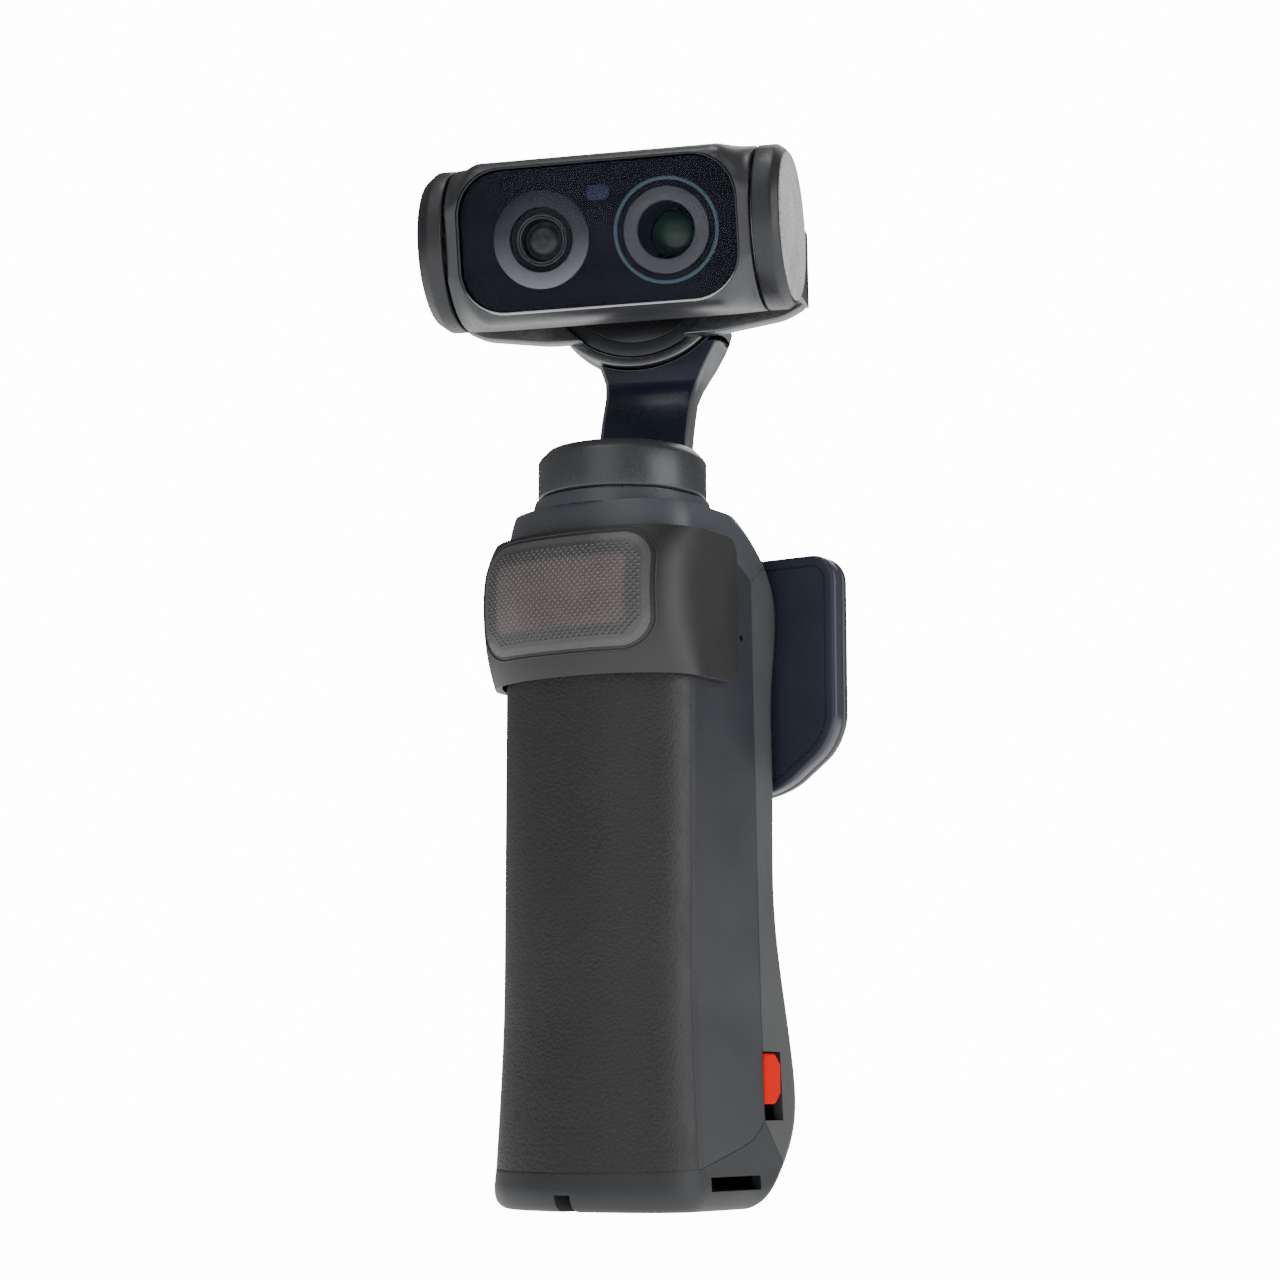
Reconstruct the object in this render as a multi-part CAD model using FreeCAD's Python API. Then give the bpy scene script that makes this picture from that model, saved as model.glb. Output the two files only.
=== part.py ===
import FreeCAD, Part
import math
import os
from FreeCAD import Vector

# Handheld gimbal camera: a grip with a swivel screen and a clip-on light, and a
# three-axis arm that carries a camera head with two lenses.
# Millimetres, +Z up. The origin is the mouth of the tripod thread in the base.
# -Y is the grip's front, with the leather and the light; +Y is the screen side.

# Grip outline in plan: half an ellipse in front, flat sides, round rear corners
grip_half_width = 15.6
grip_front_depth = 8.9
grip_front_centre_y = -4.8
grip_rear_y = 18.0
grip_corner_radius = 3.0
grip_wall = 1.5

# Heights on the grip
base_flare = 1.4
flare_start_z = 30.0
foot_round = 2.6
base_front_z = 3.9
base_side_z = 12.0
base_rear_z = 6.0
heel_bulge = 5.1
heel_z = 15.5
heel_top_z = 46.0
heel_toe_y = 11.2
shoulder_front_z = 94.0
shoulder_tip_z = 88.8
ridge_z = 98.0
ridge_half_width = 14.5
ridge_rear_y = 13.8
collar_z = 99.9
collar_radius = 12.6
seam_y = 11.2

# Leather, light contacts, slots and holes on the grip
leather_thickness = 0.7
leather_edge_y = -6.2
mic_hole_radius = 0.45
mic_y = 7.2
mic_z = 80.1
mic_radius = 1.6
lanyard_slot_y = 3.1
lanyard_slot_length = 13.2
lanyard_slot_z = 3.7
lanyard_slot_height = 1.9
lanyard_slot_depth = 4.0
notch_width = 2.5
notch_height = 2.3
card_slot_z = 54.0
card_slot_length = 12.0
card_slot_height = 1.3

# Tripod thread and charging socket in the base
thread_radius = 3.175
thread_length = 7.0
insert_radius = 4.6
socket_width = 9.0
socket_height = 3.3
socket_depth = 7.0
socket_y = 7.9

# Pan motor and ring
ring_radius = 12.2
ring_gap = 0.4
ring_height = 7.2
ring_wall = 1.4
ring_chamfer = 1.5
pan_shaft_radius = 2.0
bearing_radius = 3.6
bearing_height = 2.4
fit_clearance = 0.05
pan_stator_radius = 9.1
motor_air_gap = 0.4
magnet_thickness = 1.3
pan_stator_height = 6.6

# Rest pose of the gimbal and its axes
pan_rest = 20.0
roll_rest = -0.7
tilt_rest = 12.0
head_x = -0.4
head_y = -4.9
head_z = 138.3

# Neck
neck_centre_x = 2.1
neck_base_half_width = 6.9
neck_front_y = 6.2
neck_thickness = 4.2
neck_waist_z = 117.5
neck_cover_thickness = 0.8
motor_front_y = 10.3
motor_rear_y = 18.6
boss_radius = 13.1
boss_wall = 1.3

# Yoke: a hub around the roll motor, two wings and two end caps
hub_clearance = 0.45
hub_wall = 1.5
hub_front_y = 9.9
hub_depth = 3.6
wing_front_y = 7.6
wing_thickness = 2.4
wing_half_height = 11.2
wing_end_z = 3.4
cap_radius = 11.8
cap_gap = 0.35
left_cap_width = 3.9
right_cap_width = 3.8
cap_chamfer = 1.1
trim_radius = 10.6
trim_thickness = 0.4

# Camera head
head_half_width = 22.2
head_radius = 11.8
head_front = 10.7
head_wall = 1.3
head_corner = 5.2
head_front_half_height = 11.95
head_end_step = 0.2
head_edge_round = 1.0
panel_half_width = 20.5
panel_half_height = 10.55
panel_corner = 6.8
panel_rim = 1.0
rim_recess = 0.5
glass_thickness = 1.0
lens_spacing = 18.24
lens_shift_x = 0.8
left_lens_radius = 7.0
left_lens_opening = 4.54
right_lens_radius = 7.6
right_lens_opening = 4.07
left_lens_depth = 6.5
right_lens_depth = 7.5
window_width = 3.3
window_height = 2.2
window_z = 5.95
window_x = 0.3

# Screen
screen_half_width = 24.7
screen_half_height = 17.5
screen_centre_z = 76.0
screen_gap = 0.4
screen_thickness = 4.0
screen_cover_depth = 2.5
screen_corner = 4.0
screen_cut_x = 10.0
screen_cut_z = 7.6
screen_glass_thickness = 0.8
screen_border = 1.0
pivot_radius = 3.9
bush_wall = 1.3

# Clip-on light
light_bottom_z = 72.9
light_top_z = 93.7
light_gap = 0.3
light_wall = 1.2
light_arm_end_y = 3.6
light_arm_corner = 2.4
light_bulge_z = 84.9
light_bulge_power = 2.2
light_rim_step = 0.5
lamp_depth = 12.3
diffuser_half_width = 13.9
diffuser_height = 16.2
diffuser_z = 84.5
diffuser_corner = 4.4
diffuser_thickness = 0.8
diffuser_proud = 0.1
well_half_width = 9.0
well_half_height = 5.6
light_board_half_width = 7.8
light_board_half_height = 4.6
light_board_thickness = 0.3

# Controls
control_z = 43.0
control_x = 6.6
button_radius = 4.6
button_proud = 0.9
button_travel = 0.6
button_clearance = 0.25
stick_radius = 4.1
stick_proud = 1.9
stick_stem_radius = 0.95
stick_opening_radius = 3.0
stick_dish_depth = 0.5
stick_lift = 0.5
stick_ring_radius = 1.9
stick_ring_depth = 1.3
stick_base_inner = 2.1
stick_base_wall = 0.8
stick_pin_radius = 0.45
stick_cross_pin_radius = 0.35
latch_width = 7.1
latch_bottom_z = 14.4
latch_front_y = 12.2
latch_depth = 4.6
latch_proud = 0.5
latch_travel = 2.0
latch_body = 2.4

# Parts inside the grip
chassis_y = 5.9
chassis_thickness = 1.1
chassis_clearance = 0.25
board_standoff = 1.2
board_thickness = 1.0
board_side_room = 3.2
board_bottom_z = 13.0
board_top_z = 86.0
battery_half_width = 10.6
battery_depth = 13.6
battery_height = 60.0
battery_z = 15.0
screw_radius = 0.9
screw_head_radius = 1.6
screw_length = 5.0

# Sizes that follow from the ones above
board_half_width = grip_half_width - board_side_room
ridge_radius = 9.0
base_floor = 2.8
latch_clearance = 0.25
speaker_z = 26.0
board_front = chassis_y + chassis_thickness + board_standoff
card_y = board_front + board_thickness + 0.4
shelf_z = 86.9
shelf_top = shelf_z + 1.4
bearing_tube_height = 9.7
shaft_bottom = shelf_top + 0.3
rotor_bottom = shelf_top + 1.0
rotor_top = collar_z + ring_gap + 4.6
pan_bore_radius = pan_stator_radius + motor_air_gap + magnet_thickness + motor_air_gap
neck_foot_y = neck_front_y - 2.8
neck_foot_z = collar_z + ring_gap + ring_height - 1.5
neck_half_width = neck_base_half_width
hub_outer = boss_radius + hub_clearance + hub_wall
cap_well_radius = cap_radius - 1.3
pin_radius = 1.6
tilt_axle_radius = 2.4


def box(x0, x1, y0, y1, z0, z1):
    """A block from its lowest and highest corners."""
    return Part.makeBox(x1 - x0, y1 - y0, z1 - z0, Vector(x0, y0, z0))


def cyl(radius, length, base, axis):
    """A round bar from a point along an axis."""
    return Part.makeCylinder(radius, length, Vector(*base), Vector(*axis))


def tube(outer, inner, length, base, axis):
    """A round bar with a bore."""
    return cyl(outer, length, base, axis).cut(cyl(inner, length, base, axis))


def prism_x(points, half_width):
    """A profile in the YZ plane, drawn out to both sides."""
    corners = [Vector(-half_width, y, z) for y, z in points]
    face = Part.Face(Part.makePolygon(corners + corners[:1]))
    return face.extrude(Vector(2 * half_width, 0, 0))


def rounded_plate(half_w, half_h, radius, centre, depth):
    """A plate with rounded corners that faces -Y and runs back from its face."""
    x, y, z = centre
    block = box(x - half_w, x + half_w, y, y + depth, z - half_h, z + half_h)
    upright = [e for e in block.Edges if abs(e.tangentAt(e.FirstParameter).y) > 0.99]
    return block.makeFillet(radius, upright)


def plan_wire(half_w, front_depth, front_y, rear_y, radius, z):
    """One level of the grip's outline."""
    left = Vector(-half_w, front_y, z)
    right = Vector(half_w, front_y, z)
    curve = Part.Ellipse(Vector(0, front_y, z), half_w, front_depth)
    nose = Part.ArcOfEllipse(curve, math.pi, 2 * math.pi).toShape()
    turn = radius * (1 - math.sqrt(0.5))
    edges = [
        nose,
        Part.makeLine(right, Vector(half_w, rear_y - radius, z)),
        Part.Arc(
            Vector(half_w, rear_y - radius, z),
            Vector(half_w - turn, rear_y - turn, z),
            Vector(half_w - radius, rear_y, z),
        ).toShape(),
        Part.makeLine(Vector(half_w - radius, rear_y, z), Vector(radius - half_w, rear_y, z)),
        Part.Arc(
            Vector(radius - half_w, rear_y, z),
            Vector(turn - half_w, rear_y - turn, z),
            Vector(-half_w, rear_y - radius, z),
        ).toShape(),
        Part.makeLine(Vector(-half_w, rear_y - radius, z), left),
    ]
    return Part.Wire(edges)


def rear_line(z):
    """Where the grip's rear face is at a height: a heel below, a slope at the top."""
    if z < heel_z:
        drop = (heel_z - z) / heel_z
        return grip_rear_y + heel_bulge - (grip_rear_y + heel_bulge - heel_toe_y) * drop ** 2
    if z < heel_top_z:
        share = (heel_top_z - z) / (heel_top_z - heel_z)
        return grip_rear_y + heel_bulge * (3 * share ** 2 - 2 * share ** 3)
    if z <= shoulder_tip_z:
        return grip_rear_y
    share = (z - shoulder_tip_z) / (ridge_z - shoulder_tip_z)
    return grip_rear_y - (grip_rear_y - ridge_rear_y) * share ** 1.7


def grip_level(z, inset):
    """The grip's outline at a height, moved in by a wall."""
    flare = base_flare * max(0.0, 1 - z / flare_start_z) ** 1.5
    rounding = 0.0
    if z < foot_round:
        rounding = foot_round - math.sqrt(foot_round ** 2 - (foot_round - z) ** 2)
    rise = max(0.0, z - shoulder_tip_z) / (ridge_z - shoulder_tip_z)
    narrowing = (grip_half_width - ridge_half_width) * rise ** 3
    side = flare - rounding - narrowing - inset
    radius = grip_corner_radius + (ridge_radius - grip_corner_radius) * rise - inset
    return plan_wire(
        grip_half_width + side,
        grip_front_depth + side,
        grip_front_centre_y,
        rear_line(z) - inset,
        max(radius, grip_corner_radius / 3),
        z,
    )


def grip_body(bottom_z, top_z, inset):
    """A smooth body through the grip's outlines between two heights."""
    stations = [0.0, 0.3, 1.0, foot_round, 5.0, 8.0, 12.0, heel_z, 20.0, 26.0, 32.0, 39.0]
    stations += [heel_top_z, 60.0, 75.0, shoulder_tip_z, 92.0, 94.0, 96.0, ridge_z]
    inside = [z for z in stations if bottom_z + 0.2 < z < top_z - 0.2]
    wires = [grip_level(z, inset) for z in [bottom_z] + inside + [top_z]]
    return Part.makeLoft(wires, True, False)


# The side view of the seams that part the grip into its pieces
lower_seam = [(-40, base_front_z), (-6, base_front_z + 1.9), (5, base_front_z + 4.6),
              (8.5, base_side_z - 2.4), (seam_y + 0.6, base_side_z)]
rear_seam = [(seam_y + 0.9, 24.0), (seam_y + 0.1, 44.0), (seam_y - 1.2, shoulder_tip_z)]
front_top_seam = [(4.7, shoulder_tip_z + 2.9), (-3, shoulder_front_z - 0.7),
                  (-13.7, shoulder_front_z), (-40, shoulder_front_z)]
rear_top_seam = [(13, shoulder_tip_z + 2.2), (40, shoulder_tip_z + 8)]
heel_seam = [(grip_rear_y + 13, base_rear_z - 20), (seam_y + 5.2, base_rear_z)]


def grip_shells():
    """The grip's casing in five pieces, and the solid it is cut from."""
    outer = grip_body(0.0, ridge_z, 0.0)
    hollow = grip_body(base_floor, ridge_z - grip_wall, grip_wall)
    under_leather = grip_body(0.0, ridge_z, leather_thickness)
    casing = outer.cut(hollow)
    front_zone = prism_x(lower_seam + rear_seam + front_top_seam, 40)
    base_zone = prism_x(lower_seam + heel_seam[::-1] + [(40, -40), (-40, -40)], 40)
    rear_points = rear_seam + rear_top_seam + [(60, -40)] + heel_seam + lower_seam[-1:]
    rear_zone = prism_x(rear_points, 40)
    top_points = rear_seam[-1:] + front_top_seam + [(-40, 130), (60, 130)] + rear_top_seam[::-1]
    top_zone = prism_x(top_points, 40)
    front = casing.common(front_zone)
    leather = outer.cut(under_leather).common(front_zone)
    leather = leather.common(box(-40, 40, -40, leather_edge_y, 0, 120))
    front = front.cut(leather)
    return {
        "front_shell": front,
        "leather_grip": leather,
        "rear_shell": casing.common(rear_zone),
        "base_cap": casing.common(base_zone),
        "shoulder_cap": casing.common(top_zone),
    }, outer


def make_base(base, outer):
    """The base: thread boss, socket frame, lanyard eyes and the front notch."""
    boss = cyl(insert_radius + 1.6, thread_length + 1, (0, 0, 0), (0, 0, 1))
    frame = box(-socket_width / 2 - 1, socket_width / 2 + 1, socket_y - socket_height / 2 - 1,
                socket_y + socket_height / 2 + 1, 0, socket_depth)
    base = base.fuse(boss.fuse(frame).common(outer))
    base = base.cut(cyl(insert_radius, thread_length, (0, 0, 0), (0, 0, 1)))
    base = base.cut(socket_block(socket_width, socket_height, -1, socket_depth + 2))
    for side in (-1, 1):
        pocket = box(grip_half_width - lanyard_slot_depth, grip_half_width + 3,
                     lanyard_slot_y - lanyard_slot_length / 2,
                     lanyard_slot_y + lanyard_slot_length / 2,
                     lanyard_slot_z - lanyard_slot_height / 2,
                     lanyard_slot_z + lanyard_slot_height / 2)
        drop = box(grip_half_width - lanyard_slot_depth,
                   grip_half_width - lanyard_slot_depth + lanyard_slot_height,
                   lanyard_slot_y - 3, lanyard_slot_y + 3, -1, lanyard_slot_z)
        eye = pocket.fuse(drop)
        base = base.cut(eye if side > 0 else mirrored(eye))
    notch = box(-notch_width / 2, notch_width / 2, -20, -grip_front_depth, -1, notch_height)
    return base.cut(notch)


def mirrored(shape):
    """The same shape on the grip's other side."""
    return shape.mirror(Vector(0, 0, 0), Vector(1, 0, 0))


def socket_block(width, height, z0, z1):
    """A flat block with round ends, the section of the charging plug."""
    radius = height / 2
    span = width / 2 - radius
    block = box(-span, span, socket_y - radius, socket_y + radius, z0, z1)
    for x in (-span, span):
        block = block.fuse(cyl(radius, z1 - z0, (x, socket_y, z0), (0, 0, 1)))
    return block.removeSplitter()


def make_socket():
    """The charging socket: a sleeve, its back and the tongue inside."""
    wall = 0.35
    sleeve = socket_block(socket_width, socket_height, 0, socket_depth)
    sleeve = sleeve.cut(socket_block(socket_width - 2 * wall, socket_height - 2 * wall,
                                     -1, socket_depth - 1))
    tongue = box(-2.2, 2.2, socket_y - 0.35, socket_y + 0.35, 1.2, socket_depth - 1)
    return sleeve.fuse(tongue)


def make_shoulder(shoulder):
    """The shoulder rises to a collar round the pan motor."""
    low = ridge_z - 0.01
    collar = Part.makeCone(ridge_half_width - 1.4, collar_radius, collar_z - low, Vector(0, 0, low))
    shoulder = shoulder.fuse(collar)
    return shoulder.cut(cyl(pan_bore_radius, 20, (0, 0, ridge_z - 4), (0, 0, 1)))


def make_rear(rear):
    """The rear shell with the screen's pivot hole, the controls and the latch bay."""
    rear = rear.cut(cyl(pivot_radius + bush_wall, 12, (0, seam_y, screen_centre_z), (0, 1, 0)))
    rear = rear.cut(cyl(button_radius + button_clearance, 12, (control_x, seam_y + 1, control_z),
                        (0, 1, 0)))
    rear = rear.cut(cyl(stick_opening_radius, 12, (-control_x, seam_y + 1, control_z), (0, 1, 0)))
    dish_y = rear_line(control_z) - stick_dish_depth
    rear = rear.cut(cyl(stick_radius + 1.0, 6, (-control_x, dish_y, control_z), (0, 1, 0)))
    for column in (-1, 0, 1):
        for row in (0, 1):
            spot = (column * 1.8, seam_y + 2, speaker_z + row * 1.8)
            rear = rear.cut(cyl(0.45, 14, spot, (0, 1, 0)))
    return rear.cut(latch_bay(latch_clearance, latch_travel))


def latch_bay(clearance, travel):
    """The space of the red latch, longer below by its travel."""
    x0 = grip_half_width - latch_body
    return box(x0 - clearance, grip_half_width + 3, latch_front_y - clearance,
               latch_front_y + latch_depth + clearance,
               latch_bottom_z - travel - clearance, latch_bottom_z + latch_width + clearance)


def make_latch():
    """The red latch: a block with its rear corners cut off, and a tooth inside."""
    x0 = grip_half_width - latch_body
    z1 = latch_bottom_z + latch_width
    y1 = latch_front_y + latch_depth
    cut = 1.5
    outline = [(latch_front_y, latch_bottom_z), (y1 - cut, latch_bottom_z), (y1, latch_bottom_z + cut),
               (y1, z1 - cut), (y1 - cut, z1), (latch_front_y, z1)]
    points = [Vector(x0, y, z) for y, z in outline]
    face = Part.Face(Part.makePolygon(points + points[:1]))
    block = face.extrude(Vector(latch_body + latch_proud, 0, 0))
    outer_edges = [e for e in block.Edges if e.BoundBox.XMin > x0 + latch_body]
    return block.makeFillet(0.4, outer_edges)


def make_chassis(inside):
    """The metal frame: a tall plate, and a shelf with the pan motor's bearing tube."""
    plate = box(-20, 20, chassis_y, chassis_y + chassis_thickness, board_bottom_z - 4, shelf_z)
    shelf = box(-20, 20, -10.5, grip_rear_y - grip_wall - 1.5, shelf_z, shelf_top)
    frame = plate.fuse(shelf).common(inside)
    for x in (-board_half_width + 2.5, board_half_width - 2.5):
        for z in (board_bottom_z + 3, board_top_z - 3):
            frame = frame.fuse(cyl(1.5, board_standoff, (x, chassis_y + chassis_thickness, z), (0, 1, 0)))
    frame = frame.fuse(cyl(bearing_radius + 0.9, bearing_tube_height, (0, 0, shelf_top), (0, 0, 1)))
    return frame.cut(cyl(bearing_radius, 30, (0, 0, shelf_top), (0, 0, 1)))


def make_board():
    """The main board, on the frame's four feet."""
    return box(-board_half_width, board_half_width, board_front, board_front + board_thickness,
               board_bottom_z, board_top_z)


def on_board(width, height, depth, x, z):
    """A part on the rear of the main board."""
    y = board_front + board_thickness
    return box(x - width / 2, x + width / 2, y, y + depth, z - height / 2, z + height / 2)


def grip_parts():
    """Everything that stays still with the grip."""
    shells, outer = grip_shells()
    inside = grip_body(base_floor, ridge_z - grip_wall, grip_wall + chassis_clearance)
    mics = cyl(mic_hole_radius, 60, (-30, mic_y, mic_z), (1, 0, 0))
    card_way = box(-30, -grip_half_width + grip_wall + 3, card_y, card_y + card_slot_height,
                   card_slot_z - card_slot_length / 2, card_slot_z + card_slot_length / 2)
    parts = dict(shells)
    parts["front_shell"] = shells["front_shell"].cut(mics).cut(card_way)
    pads = [box(x - 0.9, x + 0.9, -30, 0, diffuser_z - 1.2, diffuser_z + 1.2) for x in (-4, 0, 4)]
    skin = parts["leather_grip"]
    contact = outer.cut(grip_body(0.0, ridge_z, leather_thickness))
    parts["contact_pads"] = Part.makeCompound([contact.common(pad) for pad in pads])
    for pad in pads:
        skin = skin.cut(pad)
    parts["leather_grip"] = skin
    parts["base_cap"] = make_base(shells["base_cap"], outer)
    parts["shoulder_cap"] = make_shoulder(shells["shoulder_cap"])
    parts["rear_shell"] = make_rear(shells["rear_shell"])
    parts["tripod_insert"] = tube(insert_radius, thread_radius, thread_length, (0, 0, 0), (0, 0, 1))
    parts["charging_socket"] = make_socket()
    parts["chassis"] = make_chassis(inside)
    parts["main_board"] = make_board()
    parts["board_chips"] = Part.makeCompound([
        on_board(13, 13, 1.2, 5.4, 60), on_board(10, 9, 1.0, 3.5, 34), on_board(5, 5, 0.9, -7, 76),
    ])
    parts["card_socket"] = on_board(11, 15, 2.1, -board_half_width + 5.5, card_slot_z).cut(
        box(-30, -2.5, card_y, card_y + 0.9, card_slot_z - 5.6, card_slot_z + 5.6))
    parts["battery"] = rounded_block(battery_half_width, battery_depth, battery_height)
    parts["microphones"] = Part.makeCompound([
        cyl(mic_radius, 1.2, (side * (grip_half_width - grip_wall), mic_y, mic_z), (-side, 0, 0))
        for side in (-1, 1)
    ])
    for side in (-1, 1):
        space = cyl(mic_radius + chassis_clearance, 1.5, (side * (grip_half_width - grip_wall), mic_y, mic_z),
                    (-side, 0, 0))
        parts["chassis"] = parts["chassis"].cut(space)
    speaker_rear = rear_line(speaker_z + 4) - grip_wall - 0.25
    parts["speaker"] = box(-6, 6, speaker_rear - 2.8, speaker_rear, speaker_z - 3, speaker_z + 4)
    return parts


def rounded_block(half_w, depth, height):
    """The battery: a pack with round upright edges, in front of the frame."""
    y1 = chassis_y - 0.3
    block = box(-half_w, half_w, y1 - depth, y1, battery_z, battery_z + height)
    upright = [e for e in block.Edges if abs(e.tangentAt(e.FirstParameter).z) > 0.99]
    return block.makeFillet(3.0, upright)


def gimbal_place(shape, level):
    """Turn a piece, built with the gimbal straight, to the rest pose of its level."""
    centre = Vector(head_x, head_y, head_z)
    moved = shape.copy()
    if level == "tilt":
        moved.rotate(centre, Vector(1, 0, 0), tilt_rest)
    if level in ("tilt", "roll"):
        moved.rotate(Vector(head_x, 0, head_z), Vector(0, 1, 0), roll_rest)
    moved.rotate(Vector(0, 0, 0), Vector(0, 0, 1), pan_rest)
    return moved


def neck_body():
    """The neck: a leaning plate that widens into the roll motor's round housing."""
    lean = [(neck_foot_y, neck_foot_z), (neck_foot_y + 0.9, neck_foot_z + 4),
            (neck_foot_y + 4.9, neck_waist_z), (motor_front_y + 0.1, neck_waist_z + 3),
            (motor_front_y + 0.1, head_z), (motor_rear_y, head_z), (motor_rear_y, head_z - 11.5),
            (neck_foot_y + neck_thickness + 7.6, neck_waist_z + 2),
            (neck_foot_y + neck_thickness + 1.0, neck_foot_z + 3),
            (neck_foot_y + neck_thickness, neck_foot_z)]
    side_view = prism_x(lean, 40)
    half = neck_half_width
    front = [(-half, neck_foot_z - 1), (-half + 0.2, neck_waist_z - 1), (-half - 1.5, neck_waist_z + 6),
             (-half - 4.3, head_z - 9), (half + 4.3, head_z - 9), (half + 1.6, neck_waist_z + 6),
             (half + 0.1, neck_waist_z - 1), (half + 0.1, neck_foot_z - 1)]
    corners = [Vector(neck_centre_x + x, -10, z) for x, z in front]
    face = Part.Face(Part.makePolygon(corners + corners[:1]))
    return side_view.common(face.extrude(Vector(0, 60, 0)))


def pan_parts():
    """The pan ring, the neck and the roll motor's fixed half."""
    bottom = collar_z + ring_gap
    ring = cyl(ring_radius, ring_height, (0, 0, bottom), (0, 0, 1))
    top_edge = [e for e in ring.Edges if e.BoundBox.ZMin > bottom + ring_height - 0.1]
    ring = ring.makeChamfer(ring_chamfer, top_edge)
    ring = ring.cut(cyl(ring_radius - ring_wall, rotor_top - bottom, (0, 0, bottom), (0, 0, 1)))
    rotor_inner = pan_stator_radius + motor_air_gap
    rotor = tube(rotor_inner + magnet_thickness, rotor_inner, rotor_top - rotor_bottom,
                 (0, 0, rotor_bottom), (0, 0, 1))
    rotor = rotor.fuse(cyl(rotor_inner + 0.1, 1.0, (0, 0, rotor_top - 1.0), (0, 0, 1)))
    shaft = cyl(pan_shaft_radius, rotor_top - shaft_bottom, (0, 0, shaft_bottom), (0, 0, 1))
    rotor = rotor.cut(shaft)
    neck = neck_body()
    ring = ring.cut(neck)
    axis_y = (0, 1, 0)
    hub_back = hub_front_y + hub_depth + motor_air_gap
    housing = cyl(hub_outer, motor_rear_y - hub_back, (head_x, hub_back, head_z), axis_y)
    boss = cyl(boss_radius, motor_rear_y - motor_front_y, (head_x, motor_front_y, head_z), axis_y)
    swing = cyl(hub_outer + motor_air_gap, hub_back - 5, (head_x, 5, head_z), axis_y)
    swing = swing.cut(boss)
    neck = neck.cut(swing).fuse(housing).fuse(boss)
    well = cyl(boss_radius - boss_wall, motor_rear_y - motor_front_y - boss_wall,
               (head_x, motor_front_y, head_z), axis_y)
    neck = neck.cut(well)
    cover = make_neck_cover(neck)
    neck = neck.cut(cover)
    disc = cyl(boss_radius - boss_wall, boss_wall, (head_x, motor_front_y, head_z), axis_y)
    stator = tube(boss_radius - boss_wall - 0.2, 4.0, 4.4, (head_x, motor_front_y + boss_wall + 0.6, head_z),
                  axis_y)
    core = cyl(4.0, motor_rear_y - motor_front_y - 2 * boss_wall,
               (head_x, motor_front_y + boss_wall, head_z), axis_y)
    bearing = tube(boss_radius + hub_clearance - fit_clearance, boss_radius, 1.4,
                   (head_x, hub_front_y + hub_depth - 1.5, head_z), axis_y)
    return {
        "pan_ring": ring,
        "pan_rotor": Part.makeCompound([rotor, shaft]),
        "neck_arm": neck,
        "neck_cover": cover,
        "roll_motor_disc": disc,
        "roll_stator": Part.makeCompound([stator, core]),
        "roll_bearing": bearing,
    }


def make_neck_cover(neck):
    """The dark plate on the neck's front, let in flush."""
    shifted = neck.copy()
    shifted.translate(Vector(0, neck_cover_thickness, 0))
    zone = box(-12, 18, -5, motor_front_y + 0.5, collar_z + ring_gap + ring_height + 0.4, head_z - 15.2)
    return neck.cut(shifted).common(zone)


def yoke_parts():
    """The yoke: a hub on the roll motor, wings, and a drum at each end of the head."""
    axis_y = (0, 1, 0)
    hub = cyl(hub_outer, hub_depth, (head_x, hub_front_y, head_z), axis_y)
    reach = head_half_width + cap_gap + min(left_cap_width, right_cap_width)
    wing_back = wing_front_y + wing_thickness
    outline = [(-reach, -8.0), (-reach + 3.5, -9.8), (-13, -wing_half_height), (13, -wing_half_height),
               (reach - 3.5, -9.8), (reach, -8.0), (reach, wing_end_z), (reach - 4, 9.8),
               (13, wing_half_height), (-13, wing_half_height), (4 - reach, 9.8), (-reach, wing_end_z)]
    corners = [Vector(head_x + x, wing_front_y, head_z + z) for x, z in outline]
    wing = Part.Face(Part.makePolygon(corners + corners[:1])).extrude(Vector(0, wing_thickness, 0))
    yoke = hub.fuse(wing)
    for side in (-1, 1):
        inner = head_half_width + cap_gap
        block = box(inner, reach, head_y + 6, wing_back, -8.0, wing_end_z)
        block.translate(Vector(0, 0, head_z))
        block = block if side > 0 else mirrored(block)
        block.translate(Vector(head_x, 0, 0))
        yoke = yoke.fuse(block)
    yoke = yoke.cut(cyl(boss_radius + hub_clearance, 20, (head_x, 0, head_z), axis_y))
    drums = {}
    for name, side, width in (("left_cap", -1, left_cap_width), ("right_cap", 1, right_cap_width)):
        start = head_x + side * (head_half_width + cap_gap)
        drum = cyl(cap_radius, width, (start, head_y, head_z), (side, 0, 0))
        rim = [e for e in drum.Edges if abs(e.BoundBox.Center.x - start - side * width) < 0.01
               and e.BoundBox.XLength < 0.1]
        drum = drum.makeChamfer(cap_chamfer, rim)
        yoke = yoke.cut(cyl(cap_radius, width + 2, (start - side, head_y, head_z), (side, 0, 0)))
        drums[name] = drum.cut(cyl(cap_well_radius, width - 1.2, (start, head_y, head_z), (side, 0, 0)))
    right_face = head_x + head_half_width + cap_gap + right_cap_width
    trim = cyl(trim_radius, trim_thickness, (right_face, head_y, head_z), (1, 0, 0))
    right_start = head_x + head_half_width + cap_gap
    stator = tube(7.2, tilt_axle_radius + fit_clearance, right_cap_width - 1.6,
                  (right_start + 0.4, head_y, head_z), (1, 0, 0))
    tilt_bearing = tube(3.2, pin_radius + fit_clearance, 2.2,
                        (head_x - head_half_width - cap_gap - 0.4, head_y, head_z), (-1, 0, 0))
    return {
        "yoke_bracket": yoke,
        "left_cap": drums["left_cap"].fuse(
            tube(4.2, 3.2, left_cap_width - 1.3,
                 (head_x - head_half_width - cap_gap - 0.2, head_y, head_z), (-1, 0, 0))),
        "right_cap": drums["right_cap"],
        "right_cap_trim": trim,
        "tilt_stator": stator,
        "tilt_bearing": tilt_bearing,
    }


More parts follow.
